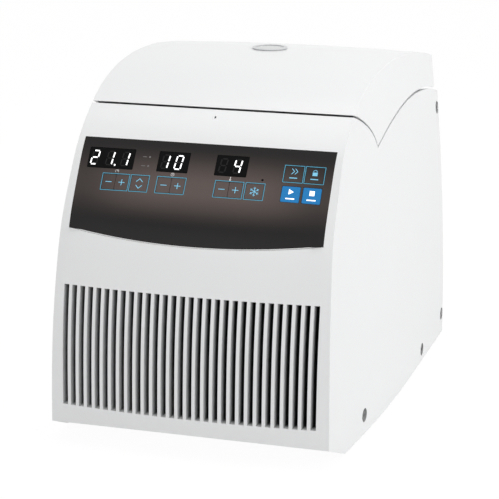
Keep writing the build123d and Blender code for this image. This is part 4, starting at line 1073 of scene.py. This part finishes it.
@dataclass
class Studio:
    """Floor, light and the camera at the photograph's place."""

    lens: float = 132.56
    sensor: float = 36.0
    camera_place: Place = (0.5054, -1.6593, 0.6056)
    azimuth: float = 0.29995
    pitch: float = 0.264314
    far_clip: float = 50.0
    floor_reach: float = 8.0
    floor_grey: Colour = (0.82, 0.82, 0.82)
    floor_glow: float = 1.03
    floor_share: float = 0.94
    white: Colour = (1.0, 1.0, 1.0)
    ambient: float = 0.62
    lit_place: Place = (0.0, 0.0, 0.16)
    lamps: tuple[Lamp, ...] = (
        Lamp("lamp_right", (1.75, -0.3, 1.2), 16.0, 1.2),
        Lamp("lamp_top", (0.1, 0.1, 1.9), 9.0, 1.4),
        Lamp("lamp_front", (-0.6, -1.8, 0.6), 4.5, 1.2))

    def camera(self) -> None:
        """Place the camera."""
        data = bpy.data.cameras.new("camera")
        data.lens = self.lens
        data.sensor_width = self.sensor
        data.sensor_fit = "HORIZONTAL"
        data.clip_end = self.far_clip
        camera = bpy.data.objects.new("camera", data)
        camera.location = self.camera_place
        camera.rotation_euler = (math.pi / 2 - self.pitch, 0.0, self.azimuth)
        bpy.context.scene.collection.objects.link(camera)
        bpy.context.scene.camera = camera

    def floor(self) -> None:
        """Lay a pale floor that keeps the shadow."""
        bm = bmesh.new()
        bmesh.ops.create_grid(bm, x_segments=1, y_segments=1, size=self.floor_reach)
        mesh = bpy.data.meshes.new("floor")
        bm.to_mesh(mesh)
        bm.free()
        floor = bpy.data.objects.new("floor", mesh)
        bpy.context.scene.collection.objects.link(floor)
        material = bpy.data.materials.new("floor_white")
        graph = Graph(material)
        matt = graph.node("ShaderNodeBsdfDiffuse", None, {"Color": (*self.floor_grey, 1.0)})
        white = graph.node("ShaderNodeEmission", None,
                           {"Color": (*self.white, 1.0), "Strength": self.floor_glow})
        shown = graph.seen() * self.floor_share
        graph.close(graph.node("ShaderNodeMixShader", None, {0: shown, 1: matt, 2: white}))
        floor.data.materials.append(material)

    def sky(self) -> None:
        """Set an even light all round, with a white background."""
        world = bpy.data.worlds.new("sky")
        bpy.context.scene.world = world
        graph = Graph(world)
        even = graph.node("ShaderNodeBackground", None, {"Strength": self.ambient})
        white = graph.node("ShaderNodeBackground", None, {"Color": (*self.white, 1.0), "Strength": 1.0})
        graph.close(graph.node("ShaderNodeMixShader", None, {0: graph.seen(), 1: even, 2: white}),
                    "ShaderNodeOutputWorld")

    def light(self) -> None:
        """Hang the lamps and turn them towards the machine."""
        for lamp in self.lamps:
            data = bpy.data.lights.new(lamp.name, "AREA")
            data.energy = lamp.watts
            data.size = lamp.size
            hung = bpy.data.objects.new(lamp.name, data)
            hung.location = lamp.place
            aim = Vector(self.lit_place) - Vector(lamp.place)
            hung.rotation_euler = aim.to_track_quat("-Z", "Y").to_euler()
            bpy.context.scene.collection.objects.link(hung)

    def build(self) -> None:
        """Set up camera, floor and light."""
        self.camera()
        self.floor()
        self.sky()
        self.light()
        bpy.context.scene.view_settings.view_transform = "Standard"


def main() -> None:
    """Build the looks of the whole machine."""
    logging.basicConfig(level=logging.INFO, format="%(message)s")
    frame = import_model()
    kit = Kit(frame)
    Studio().build()
    kit.dress_nodes()
    ControlPanel(kit).build()


if __name__ == "__main__":
    main()
